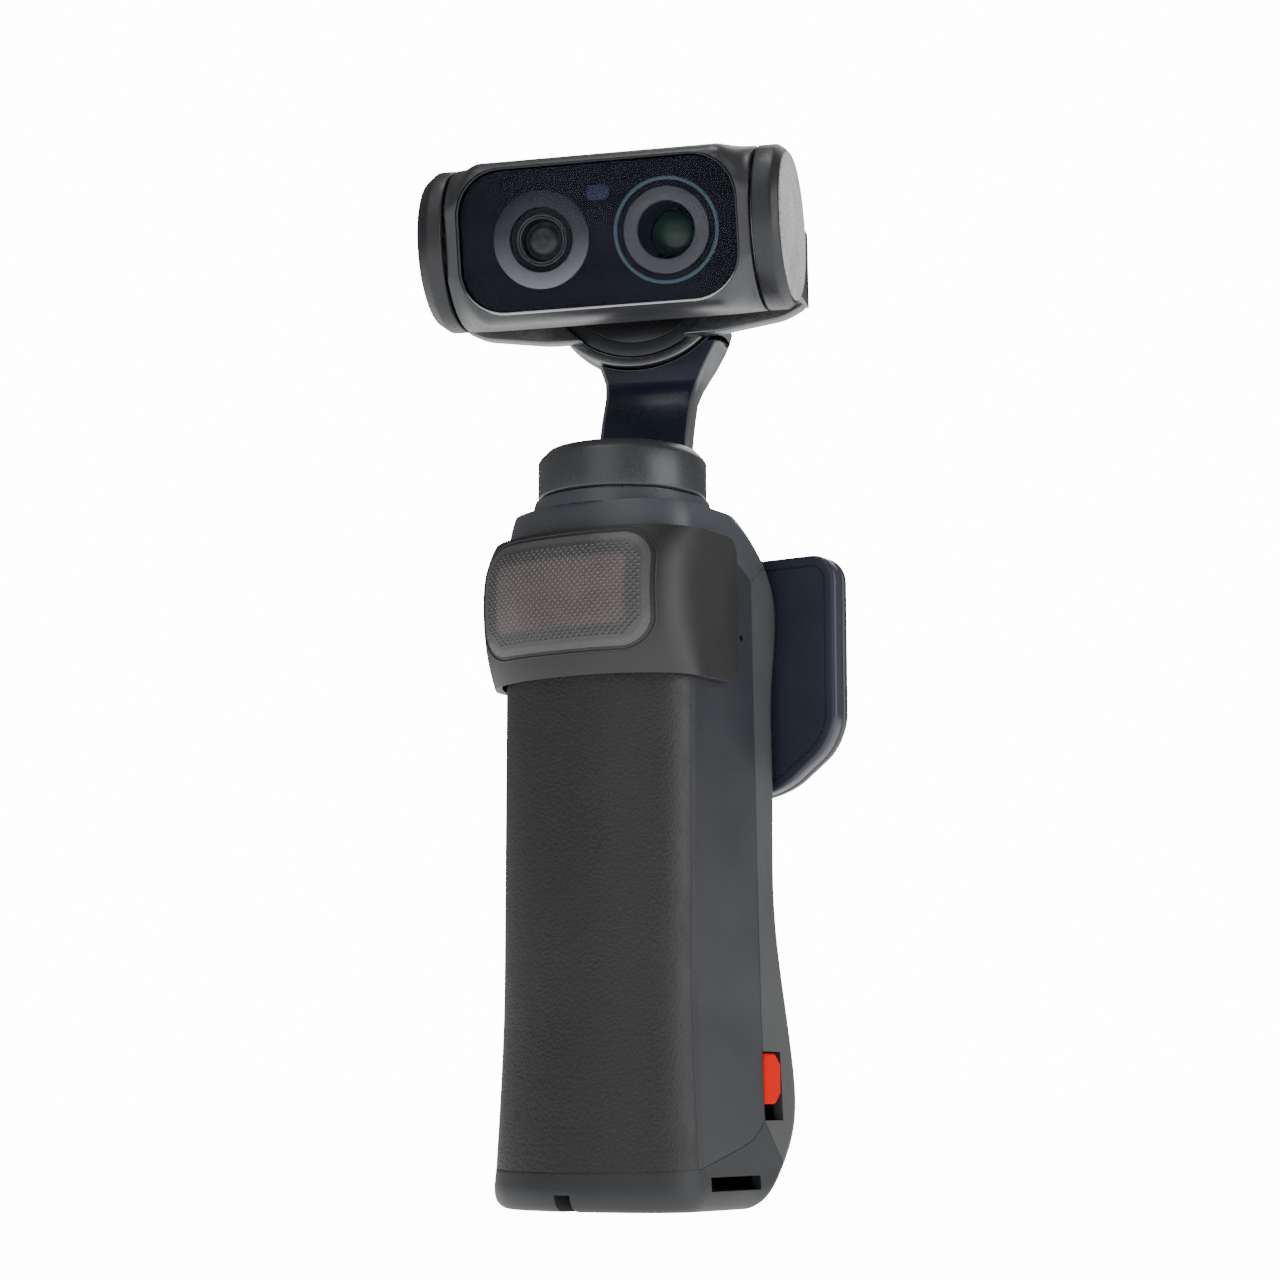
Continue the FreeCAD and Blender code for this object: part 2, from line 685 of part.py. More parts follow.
def head_solid(inset):
    """The head: a round bar between the drums with a square front."""
    radius = head_radius - inset
    half = head_half_width - inset
    bar = cyl(radius, 2 * half, (head_x - half, head_y, head_z), (1, 0, 0))
    bar = bar.common(box(-60, 60, head_y - head_front + inset, 60, 60, 200))
    block = rounded_plate(half - head_end_step, head_front_half_height - inset, head_corner - inset * 0.5,
                          (head_x, head_y - head_front + inset, head_z), head_front - inset)
    if inset == 0:
        rim = [e for e in block.Edges if e.BoundBox.YMax < head_y - head_front + 0.01]
        block = block.makeFillet(head_edge_round, rim)
    return bar.fuse(block)


def head_parts():
    """The camera head, which tilts between the drums."""
    face_y = head_y - head_front
    centre = (head_x, face_y - 1, head_z)
    body = head_solid(0).cut(head_solid(head_wall))
    recess = rounded_plate(panel_half_width, panel_half_height, panel_corner, centre,
                           1 + rim_recess + 1.6)
    opening = rounded_plate(panel_half_width - 2, panel_half_height - 2, panel_corner - 2, centre, 4)
    body = body.cut(recess).cut(opening)
    split = box(-60, 60, head_y + 2.0, 60, 80, 200)
    front = body.cut(split)
    rear = body.common(split)
    rim_y = face_y + 0.2
    back_y = face_y + rim_recess + 1.6
    outer = rounded_plate(panel_half_width, panel_half_height, panel_corner,
                          (head_x, rim_y, head_z), back_y - rim_y)
    inner = rounded_plate(panel_half_width - panel_rim, panel_half_height - panel_rim,
                          panel_corner - panel_rim, (head_x, rim_y - 1, head_z), 6)
    rim = outer.cut(inner)
    glass_y = face_y + rim_recess
    glass = rounded_plate(panel_half_width - panel_rim, panel_half_height - panel_rim,
                          panel_corner - panel_rim, (head_x, glass_y, head_z), glass_thickness)
    mask_y = glass_y + glass_thickness
    mask = rounded_plate(panel_half_width - panel_rim, panel_half_height - panel_rim,
                         panel_corner - panel_rim, (head_x, mask_y, head_z), back_y - mask_y)
    parts = {}
    sides = (("left", -1, left_lens_radius, left_lens_opening, left_lens_depth),
             ("right", 1, right_lens_radius, right_lens_opening, right_lens_depth))
    boards = []
    barrels = []
    for name, side, radius, opening_radius, depth in sides:
        x = head_x + lens_shift_x + side * lens_spacing / 2
        spot = (x, mask_y, head_z)
        mask = mask.cut(cyl(radius, 5, spot, (0, 1, 0)))
        parts[name + "_lens_ring"] = tube(radius, opening_radius, back_y - mask_y, spot, (0, 1, 0))
        barrel_y = back_y
        barrels.append(tube(radius - 0.6, opening_radius, depth, (x, barrel_y, head_z), (0, 1, 0)))
        element = cyl(opening_radius, depth * 0.55, (x, barrel_y + depth * 0.45, head_z), (0, 1, 0))
        dome = Part.makeSphere(opening_radius * 1.8,
                               Vector(x, barrel_y + depth * 0.45 + opening_radius * 1.65, head_z))
        parts[name + "_lens_element"] = element.common(dome)
        boards.append(box(x - 6, x + 6, barrel_y + depth, barrel_y + depth + 0.8,
                          head_z - 6, head_z + 6))
    parts["sensor_boards"] = Part.makeCompound(boards)
    parts["lens_barrels"] = Part.makeCompound(barrels)
    window = rounded_plate(window_width / 2, window_height / 2, 0.9,
                           (head_x + window_x, mask_y, head_z + window_z), back_y - mask_y)
    mask = mask.cut(window)
    right_end = head_x + head_half_width
    left_end = head_x - head_half_width
    rotor = tube(cap_well_radius - 0.6, 7.6, 2.0, (right_end, head_y, head_z), (1, 0, 0))
    axle = cyl(tilt_axle_radius, 1.9, (right_end, head_y, head_z), (1, 0, 0))
    pin = cyl(pin_radius, 2.4 + head_wall, (left_end + head_wall, head_y, head_z), (-1, 0, 0))
    front = front.cut(pin)
    rear = rear.cut(pin)
    parts["head_front_shell"] = front
    parts["head_rear_shell"] = rear
    parts["panel_rim"] = rim
    parts["front_glass"] = glass
    parts["glass_mask"] = mask
    parts["focus_window"] = window
    parts["tilt_rotor"] = Part.makeCompound([rotor, axle])
    parts["tilt_pin"] = pin
    return parts


def screen_outline(inset, y, depth):
    """The screen's outline: a landscape plate with its lower corners cut off."""
    w = screen_half_width - inset
    h = screen_half_height - inset
    cut_x = screen_cut_x - inset * 0.45
    cut_z = screen_cut_z - inset * 0.45
    points = [(-w, -h + cut_z), (-w + cut_x, -h), (w - cut_x, -h), (w, -h + cut_z), (w, h), (-w, h)]
    corners = [Vector(x, y, screen_centre_z + z) for x, z in points]
    block = Part.Face(Part.makePolygon(corners + corners[:1])).extrude(Vector(0, depth, 0))
    upright = [e for e in block.Edges if abs(e.tangentAt(e.FirstParameter).y) > 0.99]
    return block.makeFillet(max(screen_corner - inset, 1.0), upright)


def screen_parts():
    """The screen, which swivels on a hollow pivot in the rear shell."""
    y0 = grip_rear_y + screen_gap
    y1 = y0 + screen_cover_depth
    y2 = y0 + screen_thickness
    cover = screen_outline(0, y0, screen_cover_depth)
    front_rim = [e for e in cover.Edges if e.BoundBox.YMax < y0 + 0.01]
    cover = cover.makeFillet(0.5, front_rim)
    cover = cover.cut(screen_outline(1.4, y0 + 1.1, 5))
    frame = screen_outline(0, y1, y2 - y1)
    back_rim = [e for e in frame.Edges if e.BoundBox.YMin > y2 - 0.01]
    frame = frame.makeFillet(0.5, back_rim)
    frame = frame.cut(screen_outline(screen_border, y2 - screen_glass_thickness, 5))
    frame = frame.cut(screen_outline(2.6, y1 - 1, 5))
    glass = screen_outline(screen_border, y2 - screen_glass_thickness, screen_glass_thickness)
    panel = screen_outline(3.0, y0 + 1.4, y2 - screen_glass_thickness - y0 - 1.4)
    spindle_y = seam_y + 3.6
    pivot = tube(pivot_radius, pivot_radius - 1.1, y0 - spindle_y, (0, spindle_y, screen_centre_z),
                 (0, 1, 0))
    collar = tube(pivot_radius + bush_wall, pivot_radius - 1.1, 0.9,
                  (0, spindle_y, screen_centre_z), (0, 1, 0))
    return {
        "screen_cover": cover,
        "screen_frame": frame,
        "screen_glass": glass,
        "display_panel": panel,
        "screen_pivot": pivot.fuse(collar),
    }


def pivot_bush():
    """The bush in the rear shell that the screen's pivot turns in."""
    back = grip_rear_y
    front = seam_y + 3.6 + 0.9 + 0.15
    return tube(pivot_radius + bush_wall, pivot_radius + fit_clearance, back - front,
                (0, front, screen_centre_z), (0, 1, 0))


def light_level(z, inset):
    """The light's outline at a height: the grip's at its rims, square-shouldered between."""
    reach = light_bulge_z - light_bottom_z if z < light_bulge_z else light_top_z - light_bulge_z
    bulge = 1 - (abs(z - light_bulge_z) / (reach + light_rim_step)) ** light_bulge_power
    half = grip_half_width + light_gap + light_wall - inset
    rim_depth = grip_front_depth + light_gap + light_wall
    depth = rim_depth + (lamp_depth - rim_depth) * bulge - inset
    power = 2 / (2 + bulge)
    points = [Vector(-half, grip_front_centre_y, z)]
    for step in range(1, 24):
        angle = math.pi * step / 24
        x = -half * math.copysign(abs(math.cos(angle)) ** power, math.cos(angle))
        points.append(Vector(x, grip_front_centre_y - depth * math.sin(angle) ** power, z))
    points.append(Vector(half, grip_front_centre_y, z))
    bow = Part.BSplineCurve()
    bow.interpolate(points)
    corners = [points[-1], Vector(half, 20, z), Vector(-half, 20, z), points[0]]
    sides = [Part.makeLine(corners[i], corners[i + 1]) for i in range(3)]
    return Part.Wire([bow.toShape()] + sides)


def light_body(inset):
    """The light's solid through its outlines."""
    count = 8
    low = light_bottom_z - 0.6
    step = (light_top_z + 0.6 - low) / count
    wires = [light_level(low + step * i, inset) for i in range(count + 1)]
    return Part.makeLoft(wires, True, False)


def light_parts():
    """The clip-on light: a housing with two arms, a diffuser and its lamps' board."""
    side_view = box(-40, 40, -40, light_arm_end_y, light_bottom_z, light_top_z)
    rear_corners = [e for e in side_view.Edges if e.BoundBox.YMin > light_arm_end_y - 0.01
                    and e.BoundBox.ZLength < 0.01]
    side_view = side_view.makeFillet(light_arm_corner, rear_corners)
    grow = light_gap
    wire = plan_wire(grip_half_width + grow, grip_front_depth + grow, grip_front_centre_y,
                     30.0, 1.0, light_bottom_z - 5)
    hollow = Part.Face(wire).extrude(Vector(0, 0, light_top_z - light_bottom_z + 10))
    shell = light_body(0).common(side_view).cut(hollow)
    half_h = diffuser_height / 2
    far = grip_front_centre_y - lamp_depth - 5
    window = rounded_plate(diffuser_half_width, half_h, diffuser_corner, (0, far, diffuser_z), 11)
    core = light_body(diffuser_thickness)
    shell = shell.cut(window.cut(core))
    skin = light_body(-diffuser_proud).cut(core)
    lens = rounded_plate(diffuser_half_width - 0.1, half_h - 0.1, diffuser_corner - 0.1,
                         (0, far, diffuser_z), 11)
    well_y = grip_front_centre_y - grip_front_depth - light_gap - 0.7
    well = rounded_plate(well_half_width, well_half_height, 2.0, (0, far, diffuser_z), well_y - far)
    shell = shell.cut(well)
    board_y = well_y - light_board_thickness
    board = rounded_plate(light_board_half_width, light_board_half_height, 1.5,
                          (0, board_y, diffuser_z), light_board_thickness)
    leds = [box(x - 0.7, x + 0.7, board_y - 0.3, board_y, z - 0.7, z + 0.7)
            for x in (-6.25, -3.75, -1.25, 1.25, 3.75, 6.25)
            for z in (diffuser_z - 3.3, diffuser_z, diffuser_z + 3.3)]
    tip_y = grip_front_centre_y - grip_front_depth - light_gap + 0.05
    pins = [cyl(0.5, tip_y - board_y, (x, tip_y, diffuser_z), (0, -1, 0)) for x in (-4, 0, 4)]
    for pin in pins:
        shell = shell.cut(pin)
        board = board.cut(pin)
    return {
        "light_housing": shell,
        "light_diffuser": skin.common(lens),
        "light_board": Part.makeCompound([board] + leds),
        "light_pins": Part.makeCompound(pins),
    }


def control_parts():
    """The small board behind the rear shell, the button, the stick and the latch."""
    board_y = seam_y + 1.0
    board = box(-11.5, 11.5, board_y, board_y + 0.8, control_z - 6.5, control_z + 6.5)
    shell_y = rear_line(control_z)
    switch = cyl(1.8, 1.2, (control_x, board_y + 0.8, control_z), (0, 1, 0))
    stem_y = board_y + 0.8 + 1.2 + button_travel + 0.1
    cap_y = shell_y - grip_wall
    cap = cyl(button_radius, grip_wall + button_proud, (control_x, cap_y, control_z), (0, 1, 0))
    face = [e for e in cap.Edges if e.BoundBox.YMin > shell_y + button_proud - 0.01]
    cap = cap.makeFillet(0.5, face)
    cap = cap.fuse(cyl(1.6, cap_y - stem_y, (control_x, stem_y, control_z), (0, 1, 0)))
    base_outer = stick_base_inner + stick_base_wall
    stick_base = tube(base_outer, stick_base_inner, 1.9, (-control_x, board_y + 0.8, control_z), (0, 1, 0))
    main_rear = board_front + board_thickness
    posts = [cyl(1.1, board_y - main_rear, (x, main_rear, control_z), (0, 1, 0)) for x in (-10, 10)]
    spider_y = board_y + 0.8 + 0.4
    pivot = Vector(-control_x, spider_y + stick_ring_depth / 2, control_z)
    hole = stick_pin_radius + fit_clearance
    stick_base = stick_base.cut(cyl(hole, 2 * base_outer, pivot - Vector(base_outer, 0, 0), (1, 0, 0)))
    ring_bore = stick_stem_radius + 0.2
    cross = tube(stick_ring_radius, ring_bore, stick_ring_depth, (-control_x, spider_y, control_z),
                 (0, 1, 0))
    reach = base_outer - 0.1
    trunnions = cyl(stick_pin_radius, 2 * reach, pivot - Vector(reach, 0, 0), (1, 0, 0))
    inner = cyl(stick_ring_radius - 0.2, 3, pivot - Vector(0, 1.5, 0), (0, 1, 0))
    cross = cross.fuse(trunnions.cut(inner))
    hole = stick_cross_pin_radius + fit_clearance
    cross = cross.cut(cyl(hole, 6, pivot - Vector(0, 0, 3), (0, 0, 1)))
    tip_y = shell_y + stick_lift
    stick = cyl(stick_radius, stick_proud - stick_lift, (-control_x, tip_y, control_z), (0, 1, 0))
    tip_edge = [e for e in stick.Edges if e.BoundBox.YMin > shell_y + stick_proud - 0.01]
    stick = stick.makeFillet(0.5, tip_edge)
    stick = stick.fuse(cyl(stick_stem_radius, tip_y - spider_y, (-control_x, spider_y, control_z),
                           (0, 1, 0)))
    pin_reach = stick_ring_radius - 0.15
    stick = stick.fuse(cyl(stick_cross_pin_radius, 2 * pin_reach, pivot - Vector(0, 0, pin_reach),
                           (0, 0, 1)))
    return {
        "button_board": Part.makeCompound([board, switch, stick_base] + posts),
        "record_button": cap,
        "stick_cross": cross,
        "stick_cap": stick,
        "red_latch": make_latch(),
    }


def stator_parts():
    """The pan motor's fixed half on the frame's bearing tube."""
    low = shelf_top + 0.3
    stator = tube(pan_stator_radius, bearing_radius + 0.9, pan_stator_height, (0, 0, low), (0, 0, 1))
    bearings = [tube(bearing_radius, pan_shaft_radius + fit_clearance, bearing_height,
                     (0, 0, z), (0, 0, 1))
                for z in (shelf_top + 0.3, shelf_top + bearing_tube_height - bearing_height)]
    return {"pan_stator": stator, "pan_bearings": Part.makeCompound(bearings)}


def screws():
    """Four screws that hold the rear shell to the frame's corners."""
    made = []
    for x in (-board_half_width + 0.6, board_half_width - 0.6):
        for z in (board_bottom_z - 2.6, 66.0):
            head = cyl(screw_head_radius, 1.0, (x, chassis_y + chassis_thickness, z), (0, 1, 0))
            shank = cyl(screw_radius, screw_length, (x, chassis_y + chassis_thickness, z), (0, -1, 0))
            made.append(head.fuse(shank))
    return made


def export(parts):
    """Write each piece to its own file."""
    os.makedirs("parts", exist_ok=True)
    for name, shape in sorted(parts.items()):
        shape.exportStep(os.path.join("parts", name + ".step"))
        size = shape.BoundBox
        print("%-18s valid %s solids %d  x %.1f %.1f  y %.1f %.1f  z %.1f %.1f" % (
            name, shape.isValid(), len(shape.Solids), size.XMin, size.XMax,
            size.YMin, size.YMax, size.ZMin, size.ZMax))


def main():
    """Build the whole camera."""
    parts = grip_parts()
    parts.update(stator_parts())
    parts.update(control_parts())
    parts.update(screen_parts())
    parts.update(light_parts())
    parts["pivot_bush"] = pivot_bush()
    frame_screws = screws()
    parts["frame_screws"] = Part.makeCompound(frame_screws)
    for screw in frame_screws:
        parts["chassis"] = parts["chassis"].cut(screw)
        parts["battery"] = parts["battery"].cut(screw)
    for name, shape in pan_parts().items():
        parts[name] = gimbal_place(shape, "pan")
    for name, shape in yoke_parts().items():
        parts[name] = gimbal_place(shape, "roll")
    for name, shape in head_parts().items():
        parts[name] = gimbal_place(shape, "tilt")
    export(parts)


main()
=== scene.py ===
import bmesh
import bpy
import math
from mathutils import Matrix, Vector
from mathutils.bvhtree import BVHTree


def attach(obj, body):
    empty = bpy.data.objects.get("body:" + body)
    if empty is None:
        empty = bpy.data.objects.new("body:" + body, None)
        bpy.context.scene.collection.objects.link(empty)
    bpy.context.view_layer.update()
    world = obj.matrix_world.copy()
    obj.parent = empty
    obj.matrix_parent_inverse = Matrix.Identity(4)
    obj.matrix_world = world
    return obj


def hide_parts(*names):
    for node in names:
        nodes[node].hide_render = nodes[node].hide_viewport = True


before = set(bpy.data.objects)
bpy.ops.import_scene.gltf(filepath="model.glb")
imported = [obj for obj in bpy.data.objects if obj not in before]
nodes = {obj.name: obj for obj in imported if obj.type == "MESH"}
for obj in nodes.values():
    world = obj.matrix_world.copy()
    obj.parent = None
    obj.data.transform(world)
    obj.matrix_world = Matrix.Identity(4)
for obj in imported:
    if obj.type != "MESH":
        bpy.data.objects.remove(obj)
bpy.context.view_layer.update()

mm = 0.001

# The gimbal's rest pose: its pieces are built straight, in millimetres, and turned here
gimbal = {"pan": 20.0, "roll": -0.7, "tilt": 12.0, "headCentre": (-0.4, -4.9, 138.3)}


def turnAbout(centre, degrees, axis):
    place = Matrix.Translation(Vector(centre))
    return place @ Matrix.Rotation(math.radians(degrees), 4, axis) @ place.inverted()


scaleDown = Matrix.Scale(mm, 4)
headX, headY, headZ = gimbal["headCentre"]
straight = scaleDown
panPose = scaleDown @ Matrix.Rotation(math.radians(gimbal["pan"]), 4, "Z")
yokePose = panPose @ turnAbout((headX, 0, headZ), gimbal["roll"], "Y")
headPose = yokePose @ turnAbout((headX, headY, headZ), gimbal["tilt"], "X")


# materials: most finishes are noise, waves or cells on Object coordinates; the rim, ring and lens ramps set
# by place are painted reflections
def startMaterial(name):
    material = bpy.data.materials.new(name)
    material.use_nodes = True
    tree = material.node_tree
    coords = tree.nodes.new("ShaderNodeTexCoord")
    return material, tree, tree.nodes["Principled BSDF"], coords.outputs["Object"]


def mapped(tree, coords, scale=(1, 1, 1), shift=(0, 0, 0), turn=(0, 0, 0)):
    mapping = tree.nodes.new("ShaderNodeMapping")
    mapping.inputs["Scale"].default_value = scale
    mapping.inputs["Location"].default_value = shift
    mapping.inputs["Rotation"].default_value = turn
    tree.links.new(coords, mapping.inputs["Vector"])
    return mapping.outputs["Vector"]


def noise(tree, coords, scale, detail=3.0, roughness=0.55):
    node = tree.nodes.new("ShaderNodeTexNoise")
    node.inputs["Scale"].default_value = scale
    node.inputs["Detail"].default_value = detail
    node.inputs["Roughness"].default_value = roughness
    tree.links.new(coords, node.inputs["Vector"])
    return node.outputs["Fac"]


def cells(tree, coords, scale, feature="F1"):
    node = tree.nodes.new("ShaderNodeTexVoronoi")
    node.feature = feature
    node.inputs["Scale"].default_value = scale
    node.inputs["Randomness"].default_value = 1.0
    tree.links.new(coords, node.inputs["Vector"])
    return node.outputs["Distance"]


def ramp(tree, value, stops):
    node = tree.nodes.new("ShaderNodeValToRGB")
    band = node.color_ramp
    while len(band.elements) < len(stops):
        band.elements.new(0.5)
    for element, (place, colour) in zip(band.elements, stops):
        element.position = place
        element.color = (*colour, 1)
    tree.links.new(value, node.inputs["Fac"])
    return node.outputs["Color"]


def span(tree, value, low, high, newLow, newHigh):
    node = tree.nodes.new("ShaderNodeMapRange")
    for name, number in zip(("From Min", "From Max", "To Min", "To Max"), (low, high, newLow, newHigh)):
        node.inputs[name].default_value = number
    tree.links.new(value, node.inputs["Value"])
    return node.outputs["Result"]


def maths(tree, operation, first, second):
    node = tree.nodes.new("ShaderNodeMath")
    node.operation = operation
    for socket, value in zip(node.inputs, (first, second)):
        if isinstance(value, (int, float)):
            socket.default_value = value
        else:
            tree.links.new(value, socket)
    return node.outputs["Value"]


def mixed(tree, share, first, second):
    node = tree.nodes.new("ShaderNodeMix")
    node.data_type = "RGBA"
    tree.links.new(share, node.inputs["Factor"])
    for socket, colour in zip((node.inputs[6], node.inputs[7]), (first, second)):
        if isinstance(colour, tuple):
            socket.default_value = (*colour, 1)
        else:
            tree.links.new(colour, socket)
    return node.outputs[2]


def parts(tree, coords):
    node = tree.nodes.new("ShaderNodeSeparateXYZ")
    tree.links.new(coords, node.inputs["Vector"])
    return node.outputs["X"], node.outputs["Y"], node.outputs["Z"]


def bump(tree, shader, height, depth):
    node = tree.nodes.new("ShaderNodeBump")
    node.inputs["Strength"].default_value = 1.0
    node.inputs["Distance"].default_value = depth
    tree.links.new(height, node.inputs["Height"])
    tree.links.new(node.outputs["Normal"], shader.inputs["Normal"])


def localCoords(tree, coords, pose):
    # millimetres in the frame that a piece was built in
    shift, turn, scale = pose.inverted().decompose()
    return mapped(tree, coords, tuple(scale), tuple(shift), tuple(turn.to_euler()))


def roundedBoxDistance(tree, x, z, halfWidth, halfHeight, radius):
    # how far a point lies outside a rounded rectangle; inside it is negative
    aside = maths(tree, "SUBTRACT", maths(tree, "ABSOLUTE", x, 0), halfWidth - radius)
    above = maths(tree, "SUBTRACT", maths(tree, "ABSOLUTE", z, 0), halfHeight - radius)
    squares = [maths(tree, "POWER", maths(tree, "MAXIMUM", value, 0), 2) for value in (aside, above)]
    outside = maths(tree, "SQRT", maths(tree, "ADD", *squares), 0)
    inside = maths(tree, "MINIMUM", maths(tree, "MAXIMUM", aside, above), 0)
    return maths(tree, "SUBTRACT", maths(tree, "ADD", outside, inside), radius)


def radialDistance(tree, coords, centre):
    x, y, z = parts(tree, coords)
    across = maths(tree, "POWER", maths(tree, "SUBTRACT", x, centre[0]), 2)
    upward = maths(tree, "POWER", maths(tree, "SUBTRACT", z, centre[1]), 2)
    return maths(tree, "SQRT", maths(tree, "ADD", across, upward), 0)


def mouldedPlastic(name, colour, rough=0.45, grain=2600, depth=0.00001, spread=0.10, coat=0.0, wear=0.06):
    material, tree, shader, coords = startMaterial(name)
    fine = noise(tree, coords, grain, 2)
    broad = noise(tree, coords, 60, 3)
    low, high = [tuple(c * k for c in colour) for k in (1 - spread, 1 + spread)]
    tree.links.new(ramp(tree, broad, [(0.3, low), (0.7, high)]), shader.inputs["Base Color"])
    tree.links.new(span(tree, broad, 0.3, 0.7, rough - wear, rough + wear), shader.inputs["Roughness"])
    bump(tree, shader, fine, depth)
    shader.inputs["Coat Weight"].default_value = coat
    shader.inputs["Coat Roughness"].default_value = 0.25
    return material


def satinMetal(name, colour, rough=0.38, metallic=0.6, stretch=(1, 1, 1), grain=1800, depth=0.000006):
    material, tree, shader, coords = startMaterial(name)
    fine = noise(tree, mapped(tree, coords, stretch), grain, 3)
    broad = noise(tree, coords, 45, 2)
    low, high = [tuple(c * k for c in colour) for k in (0.88, 1.12)]
    tree.links.new(ramp(tree, broad, [(0.3, low), (0.7, high)]), shader.inputs["Base Color"])
    tree.links.new(span(tree, fine, 0.3, 0.7, rough - 0.06, rough + 0.08), shader.inputs["Roughness"])
    shader.inputs["Metallic"].default_value = metallic
    bump(tree, shader, fine, depth)
    return material


def grainedLeather(name, dark, light):
    material, tree, shader, coords = startMaterial(name)
    bent = tree.nodes.new("ShaderNodeVectorMath")
    bent.operation = "MULTIPLY_ADD"
    tree.links.new(noise(tree, coords, 420, 2), bent.inputs[0])
    bent.inputs[1].default_value = (0.0009, 0.0009, 0.0009)
    tree.links.new(coords, bent.inputs[2])
    pebbles = cells(tree, bent.outputs["Vector"], 1350, "DISTANCE_TO_EDGE")
    crease = noise(tree, mapped(tree, coords, (1, 1, 0.5)), 190, 6, 0.66)
    broad = noise(tree, coords, 30, 3)
    pores = span(tree, pebbles, 0.0, 0.22, 0.0, 1.0)
    height = maths(tree, "ADD", maths(tree, "MULTIPLY", pores, 0.5), maths(tree, "MULTIPLY", crease, 1.5))
    tree.links.new(ramp(tree, broad, [(0.25, dark), (0.75, light)]), shader.inputs["Base Color"])
    tree.links.new(span(tree, crease, 0.3, 0.7, 0.40, 0.58), shader.inputs["Roughness"])
    bump(tree, shader, height, 0.00004)
    return material


def clearGlass(name, tint, cover):
    # a coated pane: almost clear, a weak tinted reflection, a few smudges
    material, tree, shader, coords = startMaterial(name)
    smudge = noise(tree, coords, 90, 3)
    paler = tuple(min(1.0, c * 1.3) for c in tint)
    tree.links.new(span(tree, smudge, 0.45, 0.75, 0.03, 0.08), shader.inputs["Roughness"])
    tree.links.new(ramp(tree, smudge, [(0.3, tint), (0.7, paler)]), shader.inputs["Base Color"])
    tree.links.new(span(tree, smudge, 0.35, 0.75, cover, cover * 1.3), shader.inputs["Alpha"])
    shader.inputs["Metallic"].default_value = 1.0
    return material


def granularMetal(name, dark, light):
    # a sandblasted disc: bright and dark grains, a little polish worn into it
    material, tree, shader, coords = startMaterial(name)
    grains = noise(tree, coords, 2300, 4, 0.7)
    cloud = noise(tree, coords, 110, 3)
    mottle = maths(tree, "ADD", maths(tree, "MULTIPLY", grains, 0.75), maths(tree, "MULTIPLY", cloud, 0.25))
    tree.links.new(ramp(tree, mottle, [(0.38, dark), (0.62, light)]), shader.inputs["Base Color"])
    tree.links.new(span(tree, grains, 0.3, 0.7, 0.62, 0.42), shader.inputs["Roughness"])
    shader.inputs["Metallic"].default_value = 0.15
    bump(tree, shader, grains, 0.00005)
    return material


def gradedMetal(name, stops, centreZ, reach, rough, metallic):
    # a polished ring, brighter along its lower side: the gradient stands in for a reflection
    material, tree, shader, coords = startMaterial(name)
    z = parts(tree, localCoords(tree, coords, headPose))[2]
    brushed = maths(tree, "MULTIPLY", noise(tree, coords, 1500, 3), 0.06)
    height = span(tree, z, centreZ - reach, centreZ + reach, 0.0, 1.0)
    tree.links.new(ramp(tree, maths(tree, "ADD", height, brushed), stops), shader.inputs["Base Color"])
    tree.links.new(span(tree, brushed, 0.0, 0.06, rough - 0.04, rough + 0.04), shader.inputs["Roughness"])
    shader.inputs["Metallic"].default_value = metallic
    return material


def paintedReflectionLens(name, centre, radius, stops, rough=0.04):
    # a lens dome whose colour changes in rings from the middle to the rim: the lighter rings and the lighter
    # middle are painted reflections of the elements behind, laid over the coating's own tint
    material, tree, shader, coords = startMaterial(name)
    local = localCoords(tree, coords, headPose)
    share = maths(tree, "DIVIDE", radialDistance(tree, local, centre), radius)
    ripple = maths(tree, "MULTIPLY", noise(tree, coords, 700, 2), 0.08)
    tree.links.new(ramp(tree, maths(tree, "ADD", share, ripple), stops), shader.inputs["Base Color"])
    tree.links.new(span(tree, noise(tree, coords, 300, 2), 0.3, 0.7, rough, rough + 0.05),
                   shader.inputs["Roughness"])
    shader.inputs["Specular IOR Level"].default_value = 0.15
    shader.inputs["Coat Weight"].default_value = 0.12
    shader.inputs["Coat Roughness"].default_value = 0.02
    return material


def lampLens(name, lamp):
    # the smooth border, dotted frame and brown-grey prism field of the light's window
    material, tree, shader, coords = startMaterial(name)
    x, y, z = parts(tree, localCoords(tree, coords, straight))
    level = maths(tree, "SUBTRACT", z, lamp["centreZ"])
    inside = roundedBoxDistance(tree, x, level, lamp["halfWidth"], lamp["halfHeight"], lamp["corner"])
    field = span(tree, inside, -lamp["frame"] - 0.5, -lamp["frame"] + 0.3, 0.0, 1.0)
    border = span(tree, inside, -lamp["border"] - 0.15, -lamp["border"] + 0.15, 0.0, 1.0)
    cloud = noise(tree, coords, 130, 3)
    middle = ramp(tree, cloud, [(0.3, lamp["fieldDark"]), (0.7, lamp["fieldLight"])])
    base = mixed(tree, border, mixed(tree, field, middle, lamp["frameColour"]), lamp["borderColour"])
    tree.links.new(base, shader.inputs["Base Color"])
    tree.links.new(span(tree, cloud, 0.3, 0.7, 0.24, 0.36), shader.inputs["Roughness"])
    bump(tree, shader, cells(tree, coords, 1600), 0.00002)
    return material


